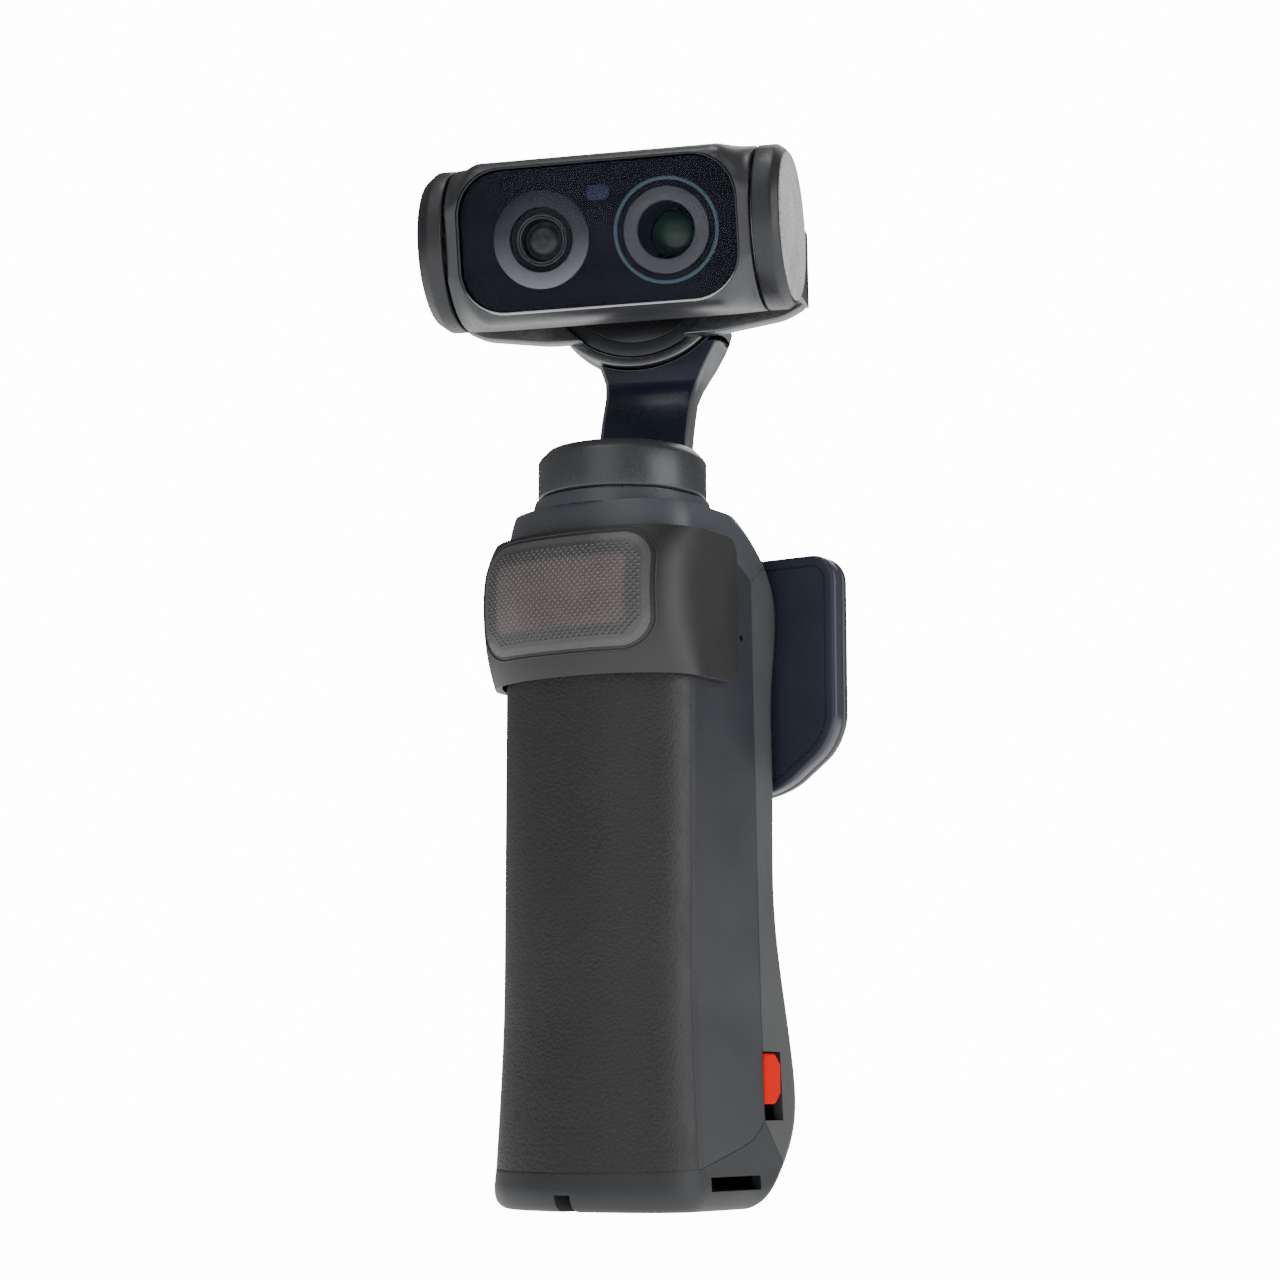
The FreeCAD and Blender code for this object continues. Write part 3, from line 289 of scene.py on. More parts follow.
charcoal = mouldedPlastic("charcoalPlastic", (0.0172, 0.0192, 0.0245), 0.42)
shoulderPlastic = mouldedPlastic("shoulderPlastic", (0.047, 0.051, 0.059), 0.34)
baseSlate = mouldedPlastic("baseSlate", (0.0124, 0.0142, 0.0164), 0.50)
rearSlate = mouldedPlastic("rearSlate", (0.044, 0.046, 0.048), 0.44)
leather = grainedLeather("grainedLeather", (0.0058, 0.0058, 0.0061), (0.0096, 0.0096, 0.0101))
motorMetal = satinMetal("motorMetal", (0.050, 0.053, 0.058), 0.32, 0.35, grain=2600, depth=0.000003)
capMetal = satinMetal("capMetal", (0.021, 0.0222, 0.0250), 0.38, 0.35, stretch=(1, 1, 0.2))
headMetal = satinMetal("headMetal", (0.054, 0.056, 0.059), 0.34, 0.6, grain=2600, depth=0.000003)
yokeMetal = satinMetal("yokeMetal", (0.135, 0.140, 0.148), 0.32, 0.9)
# the rim and the left lens ring are painted lighter along their lower sides and darker above: a painted
# reflection
rimMetal = gradedMetal("rimMetal", [(0.0, (0.36, 0.365, 0.38)), (0.10, (0.30, 0.305, 0.32)),
                                   (0.22, (0.045, 0.047, 0.052)), (1.0, (0.030, 0.032, 0.036))],
                       headZ, 10.6, 0.22, 1.0)
leftRingGrey = gradedMetal("leftRingGrey", [(0.0, (0.144, 0.150, 0.168)), (0.30, (0.080, 0.084, 0.094)),
                                           (0.60, (0.029, 0.031, 0.036)), (1.0, (0.018, 0.020, 0.024))],
                           headZ, 7.0, 0.40, 0.3)
neckMetal = satinMetal("neckMetal", (0.122, 0.125, 0.130), 0.40, 0.45)
hubDark = satinMetal("hubDark", (0.032, 0.036, 0.041), 0.40, 0.4)
discGrain = granularMetal("granularDisc", (0.24, 0.24, 0.245), (0.56, 0.56, 0.565))
steel = satinMetal("turnedSteel", (0.45, 0.46, 0.48), 0.3, 1.0)
brass = satinMetal("turnedBrass", (0.60, 0.42, 0.18), 0.3, 1.0)
copper = satinMetal("motorCopper", (0.55, 0.25, 0.12), 0.35, 1.0, stretch=(1, 1, 9))
redPlastic = mouldedPlastic("redPlastic", (0.66, 0.003, 0.001), 0.46, spread=0.04)
redPlastic.node_tree.nodes["Principled BSDF"].inputs["Specular IOR Level"].default_value = 0.02
neckGloss = mouldedPlastic("navyGloss", (0.010, 0.0125, 0.025), 0.27, grain=400, depth=0.000002, coat=0.1)
blackGloss = mouldedPlastic("blackGloss", (0.005, 0.005, 0.007), 0.14, grain=400, depth=0.000002)
maskPrint = mouldedPlastic("maskPrint", (0.0012, 0.0015, 0.0042), 0.38, grain=900, depth=0.000002)
barrelBlack = mouldedPlastic("barrelBlack", (0.005, 0.005, 0.006), 0.5, grain=900)
lampShell = mouldedPlastic("lampPlastic", (0.0105, 0.0104, 0.0118), 0.46, grain=2200)
ringGrey = satinMetal("ringGrey", (0.052, 0.054, 0.060), 0.40, 0.3)
ringBlue = satinMetal("ringBlue", (0.040, 0.066, 0.084), 0.35, 0.3)
windowTint = mouldedPlastic("windowTint", (0.016, 0.019, 0.046), 0.3, grain=900, depth=0.000002)
screenFace = mouldedPlastic("screenCoverPlastic", (0.0205, 0.0245, 0.037), 0.36, grain=2400)
screenEdge = mouldedPlastic("screenEdgePlastic", (0.031, 0.033, 0.037), 0.34, grain=2400)
screenGloss = mouldedPlastic("screenGloss", (0.004, 0.004, 0.006), 0.08, grain=300, depth=0.000001, coat=0.6)
circuit = mouldedPlastic("solderMask", (0.01, 0.06, 0.03), 0.35)
chipBlack = mouldedPlastic("chipBlack", (0.012, 0.012, 0.013), 0.5)
cellWrap = mouldedPlastic("cellWrap", (0.03, 0.05, 0.09), 0.4)
frontGlass = clearGlass("coatedGlass", (0.36, 0.50, 0.72), 0.004)

# the printed and turned parts behind the coated pane mirror almost nothing
for finish in (maskPrint, barrelBlack, ringGrey, leftRingGrey, ringBlue, windowTint):
    finish.node_tree.nodes["Principled BSDF"].inputs["Specular IOR Level"].default_value = 0.08

# every carried-over CAD node gets the finish of what it is made of
finishes = {
    "front_shell": charcoal, "rear_shell": rearSlate, "base_cap": baseSlate,
    "shoulder_cap": shoulderPlastic, "head_front_shell": headMetal, "head_rear_shell": headMetal,
    "light_housing": lampShell, "red_latch": redPlastic, "record_button": redPlastic,
    "stick_cap": charcoal, "tripod_insert": brass, "pan_stator": copper, "roll_stator": copper,
    "tilt_stator": copper, "battery": cellWrap, "main_board": circuit, "button_board": circuit,
    "sensor_boards": circuit, "light_board": circuit, "speaker": chipBlack, "display_panel": blackGloss,
    "screen_pivot": charcoal, "light_pins": brass, "light_contacts": brass,
}
for name, node in nodes.items():
    node.data.materials.clear()
    node.data.materials.append(finishes.get(name, steel))
print("materials:", len(bpy.data.materials))


# shaping helpers: all work in millimetres, and points closer than the weld become one
weld = 0.002


def outward(mesh):
    bmesh.ops.recalc_face_normals(mesh, faces=mesh.faces[:])
    return mesh


def lathe(profile, centre, axis, steps=72, ring=False):
    # spins a profile of (radius, height) points round an axis
    turned = {"X": lambda r, h: (h, 0, r), "Y": lambda r, h: (r, h, 0), "Z": lambda r, h: (r, 0, h)}
    along = {"X": (1, 0, 0), "Y": (0, 1, 0), "Z": (0, 0, 1)}[axis]
    mesh = bmesh.new()
    points = [mesh.verts.new(Vector(centre) + Vector(turned[axis](r, h))) for r, h in profile]
    pairs = zip(points, points[1:] + points[:1]) if ring else zip(points, points[1:])
    edges = [mesh.edges.new(pair) for pair in pairs]
    bmesh.ops.spin(mesh, geom=points + edges, cent=centre, axis=along, dvec=(0, 0, 0),
                   angle=math.tau, steps=steps, use_merge=True)
    bmesh.ops.remove_doubles(mesh, verts=mesh.verts[:], dist=weld)
    return outward(mesh)


def softEdges(mesh, width, segments=3, angle=30):
    sharp = [edge for edge in mesh.edges
             if edge.is_manifold and edge.calc_face_angle() > math.radians(angle)]
    bmesh.ops.bevel(mesh, geom=sharp, offset=width, segments=segments, profile=0.5,
                    affect="EDGES", clamp_overlap=True, material=-1)
    return mesh


def pulledBack(mesh, depth):
    # gives a flat mesh its thickness along y
    pulled = bmesh.ops.extrude_face_region(mesh, geom=mesh.faces[:])["geom"]
    moved = [part for part in pulled if isinstance(part, bmesh.types.BMVert)]
    bmesh.ops.translate(mesh, verts=moved, vec=(0, depth, 0))


def plate(points, y, depth, radius=0.0, segments=8):
    # a flat outline of (x, z) points, its corners rounded, pulled back along y
    mesh = bmesh.new()
    corners = [mesh.verts.new((x, y, z)) for x, z in points]
    mesh.faces.new(corners)
    if radius:
        bmesh.ops.bevel(mesh, geom=corners, offset=radius, segments=segments, profile=0.5,
                        affect="VERTICES", material=-1)
    if depth:
        pulledBack(mesh, depth)
    return outward(mesh)


def rectangle(halfWidth, halfHeight, x=0.0, z=0.0):
    return [(x - halfWidth, z - halfHeight), (x + halfWidth, z - halfHeight),
            (x + halfWidth, z + halfHeight), (x - halfWidth, z + halfHeight)]


def piercedPlate(points, y, depth, radius, holes):
    # a rounded plate with round holes, each (x, z, radius)
    mesh = plate(points, y, 0, radius, 10)
    bmesh.ops.delete(mesh, geom=mesh.faces[:], context="FACES_ONLY")
    upright = Matrix.Rotation(math.radians(90), 4, "X")
    for x, z, size in holes:
        bmesh.ops.create_circle(mesh, segments=72, radius=size,
                                matrix=Matrix.Translation((x, y, z)) @ upright)
    bmesh.ops.triangle_fill(mesh, edges=mesh.edges[:], use_beauty=True)
    pulledBack(mesh, depth)
    return outward(mesh)


def outlineRing(outer, outerCorner, inner, innerCorner, y, depth):
    # a flat frame between two rounded outlines
    mesh = joined(plate(outer, y, 0, outerCorner, 10), plate(inner, y, 0, innerCorner, 10))
    bmesh.ops.delete(mesh, geom=mesh.faces[:], context="FACES_ONLY")
    bmesh.ops.bridge_loops(mesh, edges=mesh.edges[:])
    pulledBack(mesh, depth)
    return outward(mesh)


def drawnBar(levels, corner, segments=4):
    # a bar drawn upwards through sections, each (z, left, right, front, rear)
    z, left, right, front, rear = levels[0]
    mesh = bmesh.new()
    corners = [mesh.verts.new(spot) for spot in
               ((left, front, z), (right, front, z), (right, rear, z), (left, rear, z))]
    mesh.faces.new(corners)
    bmesh.ops.bevel(mesh, geom=corners, offset=corner, segments=segments, profile=0.5,
                    affect="VERTICES", material=-1)
    top = mesh.faces[:]
    for nextZ, nextLeft, nextRight, nextFront, nextRear in levels[1:]:
        pulled = bmesh.ops.extrude_face_region(mesh, geom=top)["geom"]
        top = [part for part in pulled if isinstance(part, bmesh.types.BMFace)]
        for vert in {vert for face in top for vert in face.verts}:
            across = (vert.co.x - left) / (right - left)
            back = (vert.co.y - front) / (rear - front)
            vert.co = (nextLeft + across * (nextRight - nextLeft),
                       nextFront + back * (nextRear - nextFront), nextZ)
        left, right, front, rear = nextLeft, nextRight, nextFront, nextRear
    return outward(mesh)


def asObject(mesh, name):
    data = bpy.data.meshes.new(name)
    mesh.to_mesh(data)
    mesh.free()
    made = bpy.data.objects.new(name, data)
    bpy.context.scene.collection.objects.link(made)
    return made


def asMesh(made, evaluated=False):
    mesh = bmesh.new()
    if evaluated:
        mesh.from_object(made, bpy.context.evaluated_depsgraph_get())
    else:
        mesh.from_mesh(made.data)
    data = made.data
    bpy.data.objects.remove(made)
    bpy.data.meshes.remove(data)
    return mesh


def carved(mesh, *cutters):
    # takes each cutter's shape out of a mesh
    for cutter in cutters:
        body, tool = asObject(mesh, "carving"), asObject(cutter, "carvingTool")
        cut = body.modifiers.new("carve", "BOOLEAN")
        cut.operation, cut.solver, cut.object = "DIFFERENCE", "EXACT", tool
        mesh = asMesh(body, evaluated=True)
        asMesh(tool).free()
    bmesh.ops.remove_doubles(mesh, verts=mesh.verts[:], dist=weld)
    bmesh.ops.dissolve_degenerate(mesh, dist=weld, edges=mesh.edges[:])
    return mesh


def painted(mesh, index):
    for face in mesh.faces:
        face.material_index = index
    return mesh


def joined(*meshes):
    whole = bmesh.new()
    for mesh in meshes:
        data = bpy.data.meshes.new("joining")
        mesh.to_mesh(data)
        mesh.free()
        whole.from_mesh(data)
        bpy.data.meshes.remove(data)
    return whole


def finishPiece(mesh, name, body, pose, finish, *replaced, slot="metal_dark", sharpAngle=38):
    bmesh.ops.transform(mesh, matrix=pose, verts=mesh.verts[:])
    for face in mesh.faces:
        face.smooth = True
    for edge in mesh.edges:
        if edge.is_manifold and edge.calc_face_angle() > math.radians(sharpAngle):
            edge.smooth = False
    piece = asObject(mesh, name)
    for material in finish if isinstance(finish, tuple) else (finish,):
        piece.data.materials.append(material)
    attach(piece, body)
    if replaced:
        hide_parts(*replaced)
    return piece


def nodeMesh(node):
    # a CAD node in millimetres, its triangles merged into whole faces
    mesh = bmesh.new()
    mesh.from_mesh(nodes[node].data)
    bmesh.ops.transform(mesh, matrix=scaleDown.inverted(), verts=mesh.verts[:])
    bmesh.ops.remove_doubles(mesh, verts=mesh.verts[:], dist=weld)
    bmesh.ops.dissolve_limit(mesh, angle_limit=math.radians(0.5), verts=mesh.verts[:],
                             edges=mesh.edges[:])
    return mesh


seam = {"reach": 0.12, "width": 0.20, "hollow": 0.06, "angle": 40}


def cutSeams(mesh, neighbours):
    # the edges that meet a neighbouring piece are stepped in, which leaves a fine dark joint
    surfaces = []
    for neighbour in neighbours:
        other = nodeMesh(neighbour)
        surfaces.append(BVHTree.FromBMesh(other))
        other.free()

    def touching(vert):
        return any(tree.find_nearest(vert.co, seam["reach"])[0] is not None for tree in surfaces)

    meeting = [edge for edge in mesh.edges
               if edge.is_manifold and edge.is_convex and edge.calc_face_angle() > math.radians(seam["angle"])
               and touching(edge.verts[0]) and touching(edge.verts[1])]
    made = bmesh.ops.bevel(mesh, geom=meeting, offset=seam["width"], segments=2, profile=seam["hollow"],
                           affect="EDGES", clamp_overlap=True, material=-1)
    return {edge for face in made["faces"] for edge in face.edges}


def roundedCopy(node, name, width, body, finish, slot, segments=2, angle=32, meets=()):
    # a copy of a CAD node with its edges softened and its flat faces kept flat
    mesh = nodeMesh(node)
    stepped = cutSeams(mesh, meets) if meets else set()
    sharp = [edge for edge in mesh.edges if edge.is_manifold and edge not in stepped
             and edge.is_convex and edge.calc_face_angle() > math.radians(angle)]
    bmesh.ops.bevel(mesh, geom=sharp, offset=width, segments=segments, profile=0.5,
                    affect="EDGES", clamp_overlap=True, material=-1)
    piece = finishPiece(mesh, name, body, straight, finish, node, slot=slot)
    evened = piece.modifiers.new("evenShading", "WEIGHTED_NORMAL")
    evened.keep_sharp = True
    return piece


# the head's optics: rim, glass, printed mask, lens rings, barrels and domes
optics = {
    "glassHalf": (20.1, 10.15), "glassCorner": 6.4, "rimHalf": (20.48, 10.53), "rimCorner": 6.8,
    "rimFront": -15.55, "glassFront": -15.15, "glassDepth": 0.6, "maskFront": -14.3,
    "rimDepth": 1.8, "rimRound": 0.14, "glassRound": 0.12, "ringProud": 0.08, "ringRound": 0.05,
    "maskHalf": (20.0, 10.05), "maskDepth": 0.5, "maskCorner": 6.3,
    "windowHalf": (1.65, 1.1), "windowDepth": 0.4, "windowCorner": 0.9, "windowRound": 0.08,
    "leftX": -8.32, "rightX": 9.92, "lensZ": -0.1, "windowX": 0.32, "windowZ": 5.95,
    "leftRing": 7.0, "leftHole": 4.54, "rightRing": 7.6, "rightLine": 0.5,
    "rightGap": 6.15, "rightHole": 4.07, "leftPlay": 0.12, "rightPlay": 0.1,
}
leftX, rightX, lensZ = headX + optics["leftX"], headX + optics["rightX"], headZ + optics["lensZ"]
# the lens domes: the lighter rings of the left one and the lighter green middle of the right one are painted
# reflections; the green itself is the coating's tint
leftLensPaintedRings = paintedReflectionLens("leftLensPaintedRings", (leftX, lensZ), 2.7, [
    (0.0, (0.020, 0.024, 0.022)), (0.35, (0.006, 0.008, 0.008)), (0.6, (0.024, 0.027, 0.026)),
    (0.8, (0.006, 0.007, 0.007)), (1.0, (0.036, 0.037, 0.037))])
rightLensTintPaintedSheen = paintedReflectionLens("rightLensTintPaintedSheen", (rightX, lensZ), 3.5, [
    (0.0, (0.020, 0.040, 0.022)), (0.45, (0.012, 0.034, 0.018)), (0.75, (0.006, 0.020, 0.012)),
    (1.0, (0.003, 0.006, 0.006))])

head = {
    "half": 22.2, "radius": 11.8, "rise": 0.15, "front": -10.7, "squareTo": 17.2, "power": 5.0,
    "rearPower": 2.15, "shoulder": 1.24, "columns": 72, "around": 144, "endRound": 0.3, "cavity": 9.2,
    "cavityGap": 0.02, "cavityLead": 2,
}


def headSection(share, angle):
    # the shell's radius at a place along it: round at the drums, square-shouldered between
    back = math.cos(angle) > 0
    power = head["rearPower"] if back else head["power"]
    square = (abs(math.cos(angle)) ** power + abs(math.sin(angle)) ** power) ** (-1 / power)
    tall = head["radius"] + share * head["rise"] * min(1.0, max(0.0, 1 - 3 * math.cos(angle)))
    radius = tall * (1 + share * (min(square, head["shoulder"]) - 1))
    reachFront = -head["front"] / max(-math.cos(angle), 0.01)
    reachTop = tall / max(abs(math.sin(angle)), 0.01)
    return min(radius, reachFront, reachTop) if not back else min(radius, reachTop)


def headShell():
    # a tube of many rings, each ring moved out to its section, then closed and hollowed
    mesh = bmesh.new()
    upright = Matrix.Rotation(math.radians(90), 4, "Y")
    bmesh.ops.create_cone(mesh, cap_ends=True, segments=head["around"], radius1=1, radius2=1,
                          depth=2 * head["half"], matrix=upright)
    lengthwise = [edge for edge in mesh.edges if abs(edge.verts[0].co.x - edge.verts[1].co.x) > 1]
    bmesh.ops.subdivide_edges(mesh, edges=lengthwise, cuts=head["columns"] - 1, use_grid_fill=True)
    for vert in mesh.verts:
        x, angle = vert.co.x, math.atan2(vert.co.z, vert.co.y)
        share = min(1.0, max(0.0, (head["half"] - abs(x)) / (head["half"] - head["squareTo"])))
        share = share * share * (3 - 2 * share)
        radius = headSection(share, angle)
        vert.co = (headX + x, headY + radius * math.cos(angle), headZ + radius * math.sin(angle))
    outward(mesh)
    softEdges(mesh, head["endRound"], 3, 60)
    gap, lead = head["cavityGap"], head["cavityLead"]
    cavity = plate(rectangle(optics["rimHalf"][0] + gap, optics["rimHalf"][1] + gap, headX, headZ),
                   headY + head["front"] - lead, head["cavity"] + lead, optics["rimCorner"] + gap, 10)
    return carved(mesh, cavity)


finishPiece(headShell(), "headShell", "camera_head", headPose, headMetal, "head_front_shell",
            "head_rear_shell", sharpAngle=32)
rim = outlineRing(rectangle(*optics["rimHalf"], headX, headZ), optics["rimCorner"],
                  rectangle(*optics["glassHalf"], headX, headZ), optics["glassCorner"],
                  optics["rimFront"], optics["rimDepth"])
softEdges(rim, optics["rimRound"], 3, 50)
finishPiece(rim, "panelRim", "camera_head", headPose, rimMetal, "panel_rim")

glass = plate(rectangle(*optics["glassHalf"], headX, headZ), optics["glassFront"],
              optics["glassDepth"], optics["glassCorner"], 10)
finishPiece(softEdges(glass, optics["glassRound"], 2), "glassPanel", "camera_head", headPose, frontGlass,
            "front_glass", slot="clear_glass")
mask = piercedPlate(rectangle(*optics["maskHalf"], headX, headZ), optics["maskFront"],
                    optics["maskDepth"], optics["maskCorner"],
                    [(leftX, lensZ, optics["leftHole"]), (rightX, lensZ, optics["rightHole"])])
finishPiece(mask, "glassMask", "camera_head", headPose, maskPrint, "glass_mask", slot="black_gloss")

ringFront = optics["maskFront"] - optics["ringProud"]
ringBack = optics["maskFront"] + optics["maskDepth"]


def flatRing(outer, inner, centreX):
    profile = [(inner, ringFront), (outer, ringFront), (outer, ringBack), (inner, ringBack)]
    return softEdges(lathe(profile, (centreX, 0, lensZ), "Y", 96, ring=True), optics["ringRound"], 2)


leftRing = flatRing(optics["leftRing"], optics["leftHole"] + optics["leftPlay"], leftX)
finishPiece(leftRing, "leftLensRing", "camera_head", headPose, leftRingGrey, "left_lens_ring",
            slot="ring_grey")
blueLine = flatRing(optics["rightRing"], optics["rightRing"] - optics["rightLine"], rightX)
greyBand = flatRing(optics["rightGap"], optics["rightHole"] + optics["rightPlay"], rightX)
rightRing = joined(painted(blueLine, 1), painted(greyBand, 0))
finishPiece(rightRing, "rightLensRing", "camera_head", headPose, (ringGrey, ringBlue),
            "right_lens_ring", slot="ring_blue")


def ribbedBarrel(mouth, throat, front, back, ribs, centreX):
    # a black light trap: a stepped wall that narrows towards the lens
    profile = []
    for rib in range(ribs):
        share = rib / ribs
        radius = mouth + (throat - mouth) * share
        depth = front + (back - front) * share
        profile += [(radius, depth), (radius, depth + (back - front) / ribs * 0.55)]
    profile += [(throat, back), (mouth + 0.5, back), (mouth + 0.5, front)]
    return lathe(profile, (centreX, 0, lensZ), "Y", 72, ring=True)


def lensDome(radius, rise, front, centreX):
    # a shallow dome with a flat back, its pole on the axis
    steps = 10
    profile = [(0.0, front)]
    for step in range(1, steps + 1):
        r = radius * step / steps
        profile.append((r, front + rise * (1 - math.sqrt(1 - (r / radius * 0.95) ** 2))))
    profile += [(radius, profile[-1][1] + 0.6), (0.0, profile[-1][1] + 0.6)]
    return lathe(profile, (centreX, 0, lensZ), "Y", 64)


# each trap: mouth, throat, depths of its front and back, ribs; each dome: radius, rise, depth
barrel = {
    "ledge": 0.55, "stepRadius": 3.65, "stepSlope": 0.15, "stepDepth": 2, "trimRadii": (3.5, 3.12),
    "trimWidth": 0.16, "trimFront": 0.1, "trimBack": 0.5, "trimRound": 0.04,
    "leftTrap": (3.1, 2.7, 0.2, 3.6, 4), "rightTrap": (4.05, 3.55, 0.1, 6.3, 7),
    "leftDome": (2.75, 1.5, 0.5), "rightDome": (3.55, 1.2, 5.2),
}
ledge = ringFront + barrel["ledge"]


def trap(sizes, start, centreX):
    mouth, throat, front, back, ribs = sizes
    return painted(ribbedBarrel(mouth, throat, start + front, start + back, ribs, centreX), 0)


def trimRing(radius):
    outer, front, back = radius + barrel["trimWidth"], ledge - barrel["trimFront"], ledge + barrel["trimBack"]
    profile = [(radius, front), (outer, front), (outer, back), (radius, back)]
    made = softEdges(lathe(profile, (leftX, 0, lensZ), "Y", 72, ring=True), barrel["trimRound"], 2)
    return painted(made, 1)


stepBack = ledge + barrel["stepDepth"]
leftStep = lathe([(optics["leftHole"], ledge), (barrel["stepRadius"], ledge + barrel["stepSlope"]),
                  (barrel["stepRadius"], stepBack), (optics["leftHole"], stepBack)],
                 (leftX, 0, lensZ), "Y", 72, ring=True)
leftTrims = [trimRing(radius) for radius in barrel["trimRadii"]]
barrels = joined(painted(leftStep, 0), *leftTrims, trap(barrel["leftTrap"], ledge, leftX),
                 trap(barrel["rightTrap"], ringFront, rightX))
finishPiece(barrels, "lensBarrels", "camera_head", headPose, (barrelBlack, ringGrey), "lens_barrels",
            slot="black_gloss")
radius, rise, depth = barrel["leftDome"]
finishPiece(lensDome(radius, rise, ledge + depth, leftX), "leftLens", "camera_head", headPose,
            leftLensPaintedRings, "left_lens_element", slot="lens_blue")
radius, rise, depth = barrel["rightDome"]
finishPiece(lensDome(radius, rise, ringFront + depth, rightX), "rightLens", "camera_head", headPose,
            rightLensTintPaintedSheen, "right_lens_element", slot="lens_green")
window = plate(rectangle(*optics["windowHalf"], headX + optics["windowX"], headZ + optics["windowZ"]),
               ringFront, optics["windowDepth"], optics["windowCorner"], 6)
finishPiece(softEdges(window, optics["windowRound"], 2), "focusWindow", "camera_head", headPose, windowTint,
            "focus_window", slot="ring_blue")
print("optics ready")


def aboutTilt(profile):
    return lathe(profile, (headX, headY, headZ), "X", 96)


def aboutRoll(profile, ring=False):
    return lathe(profile, (headX, 0, headZ), "Y", 96, ring=ring)


# the drums at the head's ends, and the yoke's hub and wings
drums = {"radius": 11.8, "start": 22.55, "left": 3.9, "right": 3.8, "leftChamfer": 1.7,
         "rightChamfer": 1.1, "trim": 10.6, "trimProud": 0.4, "trimEdge": 0.25, "trimSlope": 0.35,
         "recess": 1.2, "wall": 1.3, "chamferShare": 0.75, "faceEdge": 2.4, "dishEdge": 2.7,
         "dish": 0.12, "round": 0.28}


def drum(side, width, chamfer):
    radius, start, dished = drums["radius"], drums["start"], width - drums["dish"]
    bore = radius - drums["wall"]
    profile = [(0, drums["recess"]), (bore, drums["recess"]), (bore, 0), (radius, 0),
               (radius, width - chamfer), (radius - chamfer * drums["chamferShare"], width),
               (radius - drums["faceEdge"], width), (radius - drums["dishEdge"], dished), (0, dished)]
    mesh = aboutTilt([(r, side * (start + h)) for r, h in profile])
    return softEdges(mesh, drums["round"], 3, 25)


finishPiece(drum(-1, drums["left"], drums["leftChamfer"]), "leftDrum", "roll_yoke", yokePose,
            capMetal, "left_cap")
finishPiece(drum(1, drums["right"], drums["rightChamfer"]), "rightDrum", "roll_yoke", yokePose,
            capMetal, "right_cap")
trimFace = drums["start"] + drums["right"]
trimFront = trimFace + drums["trimProud"]
trimProfile = [(0, trimFace), (drums["trim"], trimFace), (drums["trim"], trimFace + drums["trimEdge"]),
               (drums["trim"] - drums["trimSlope"], trimFront), (0, trimFront)]
finishPiece(aboutTilt(trimProfile), "rightTrim", "roll_yoke", yokePose,
            discGrain, "right_cap_trim", slot="disc_grey")

yoke = {"hubInner": 13.55, "hubOuter": 15.05, "hubFront": 9.9, "hubDepth": 3.6, "wingFront": 7.6,
        "wingDepth": 2.4, "wingHeight": 11.2, "wingCorner": 1.2, "wingRound": 0.4, "reach": 26.35,
        "endHeight": 3.4, "endDrop": 8.0, "taperHeight": 9.8, "lowerTaper": 3.5, "upperTaper": 4,
        "middle": 13, "blockDepth": 8.9, "blockShift": 0.02, "round": 0.3, "toolDepth": 30}
reach, tall, low, drop = yoke["reach"], yoke["wingHeight"], yoke["endHeight"], yoke["endDrop"]
taper, middleX, hubInner = yoke["taperHeight"], yoke["middle"], yoke["hubInner"]
lowerX, upperX = reach - yoke["lowerTaper"], reach - yoke["upperTaper"]
wingOutline = [(-reach, -drop), (-lowerX, -taper), (-middleX, -tall), (middleX, -tall), (lowerX, -taper),
               (reach, -drop), (reach, low), (upperX, taper), (middleX, tall), (-middleX, tall),
               (-upperX, taper), (-reach, low)]
wing = plate([(headX + x, headZ + z) for x, z in wingOutline], yoke["wingFront"], yoke["wingDepth"],
             yoke["wingCorner"], 4)
hubTool = aboutRoll([(0, 0), (hubInner, 0), (hubInner, yoke["toolDepth"]), (0, yoke["toolDepth"])])
wing = softEdges(carved(wing, hubTool), yoke["wingRound"], 3, 35)
shells = [wing]
for side in (-1, 1):
    middle = headX + side * (drums["start"] + reach) / 2
    block = plate(rectangle((reach - drums["start"]) / 2, (drop + low) / 2, middle, headZ - (drop - low) / 2),
                  yoke["wingFront"] + yoke["wingDepth"] - yoke["blockDepth"] - yoke["blockShift"],
                  yoke["blockDepth"])
    inner = drums["start"] - 1
    drumTool = aboutTilt([(0, side * inner), (drums["radius"], side * inner),
                          (drums["radius"], side * (reach + 1)), (0, side * (reach + 1))])
    shells.append(softEdges(carved(block, drumTool), yoke["round"], 2, 35))
hubBack = yoke["hubFront"] + yoke["hubDepth"]
hubProfile = [(hubInner, yoke["hubFront"]), (yoke["hubOuter"], yoke["hubFront"]),
              (yoke["hubOuter"], hubBack), (hubInner, hubBack)]
shells.append(softEdges(aboutRoll(hubProfile, ring=True), yoke["round"], 3))
finishPiece(joined(*shells), "yokeBracket", "roll_yoke", yokePose, yokeMetal, "yoke_bracket",
            slot="metal_grey")
print("yoke ready")


# the neck leans back from the pan ring and widens into the roll motor's housing
neck = {"corner": 1.1, "ringBack": 13.8, "hubRoom": 15.5, "roomFront": 2, "roomBack": 13.9,
        "plateInset": 0.7, "plateProud": 0.02, "plateDepth": 0.5, "plateCorner": 0.2, "plateGap": 0.1,
        "round": 0.12, "discRound": 0.1}
# each section is (height, left, right, front, rear)
neckSections = [
    (105.6, -4.8, 9.0, 3.3, 7.3), (108.0, -4.8, 9.0, 3.8, 7.8), (111.0, -4.8, 9.0, 4.8, 8.9),
    (114.0, -4.8, 9.0, 6.1, 10.4), (117.0, -4.8, 9.0, 7.9, 12.2), (118.5, -4.9, 9.2, 9.0, 13.6),
    (119.8, -5.1, 9.45, 9.85, 14.8), (121.0, -5.3, 9.8, 10.38, 16.0), (122.2, -5.7, 10.3, 10.4, 16.9),
    (123.5, -6.2, 10.9, 10.4, 17.7), (126.0, -7.6, 12.2, 10.4, 18.1),
    (127.6, -8.8, 12.9, 10.4, 18.2), (129.0, -10.0, 13.3, 10.4, 18.2)]


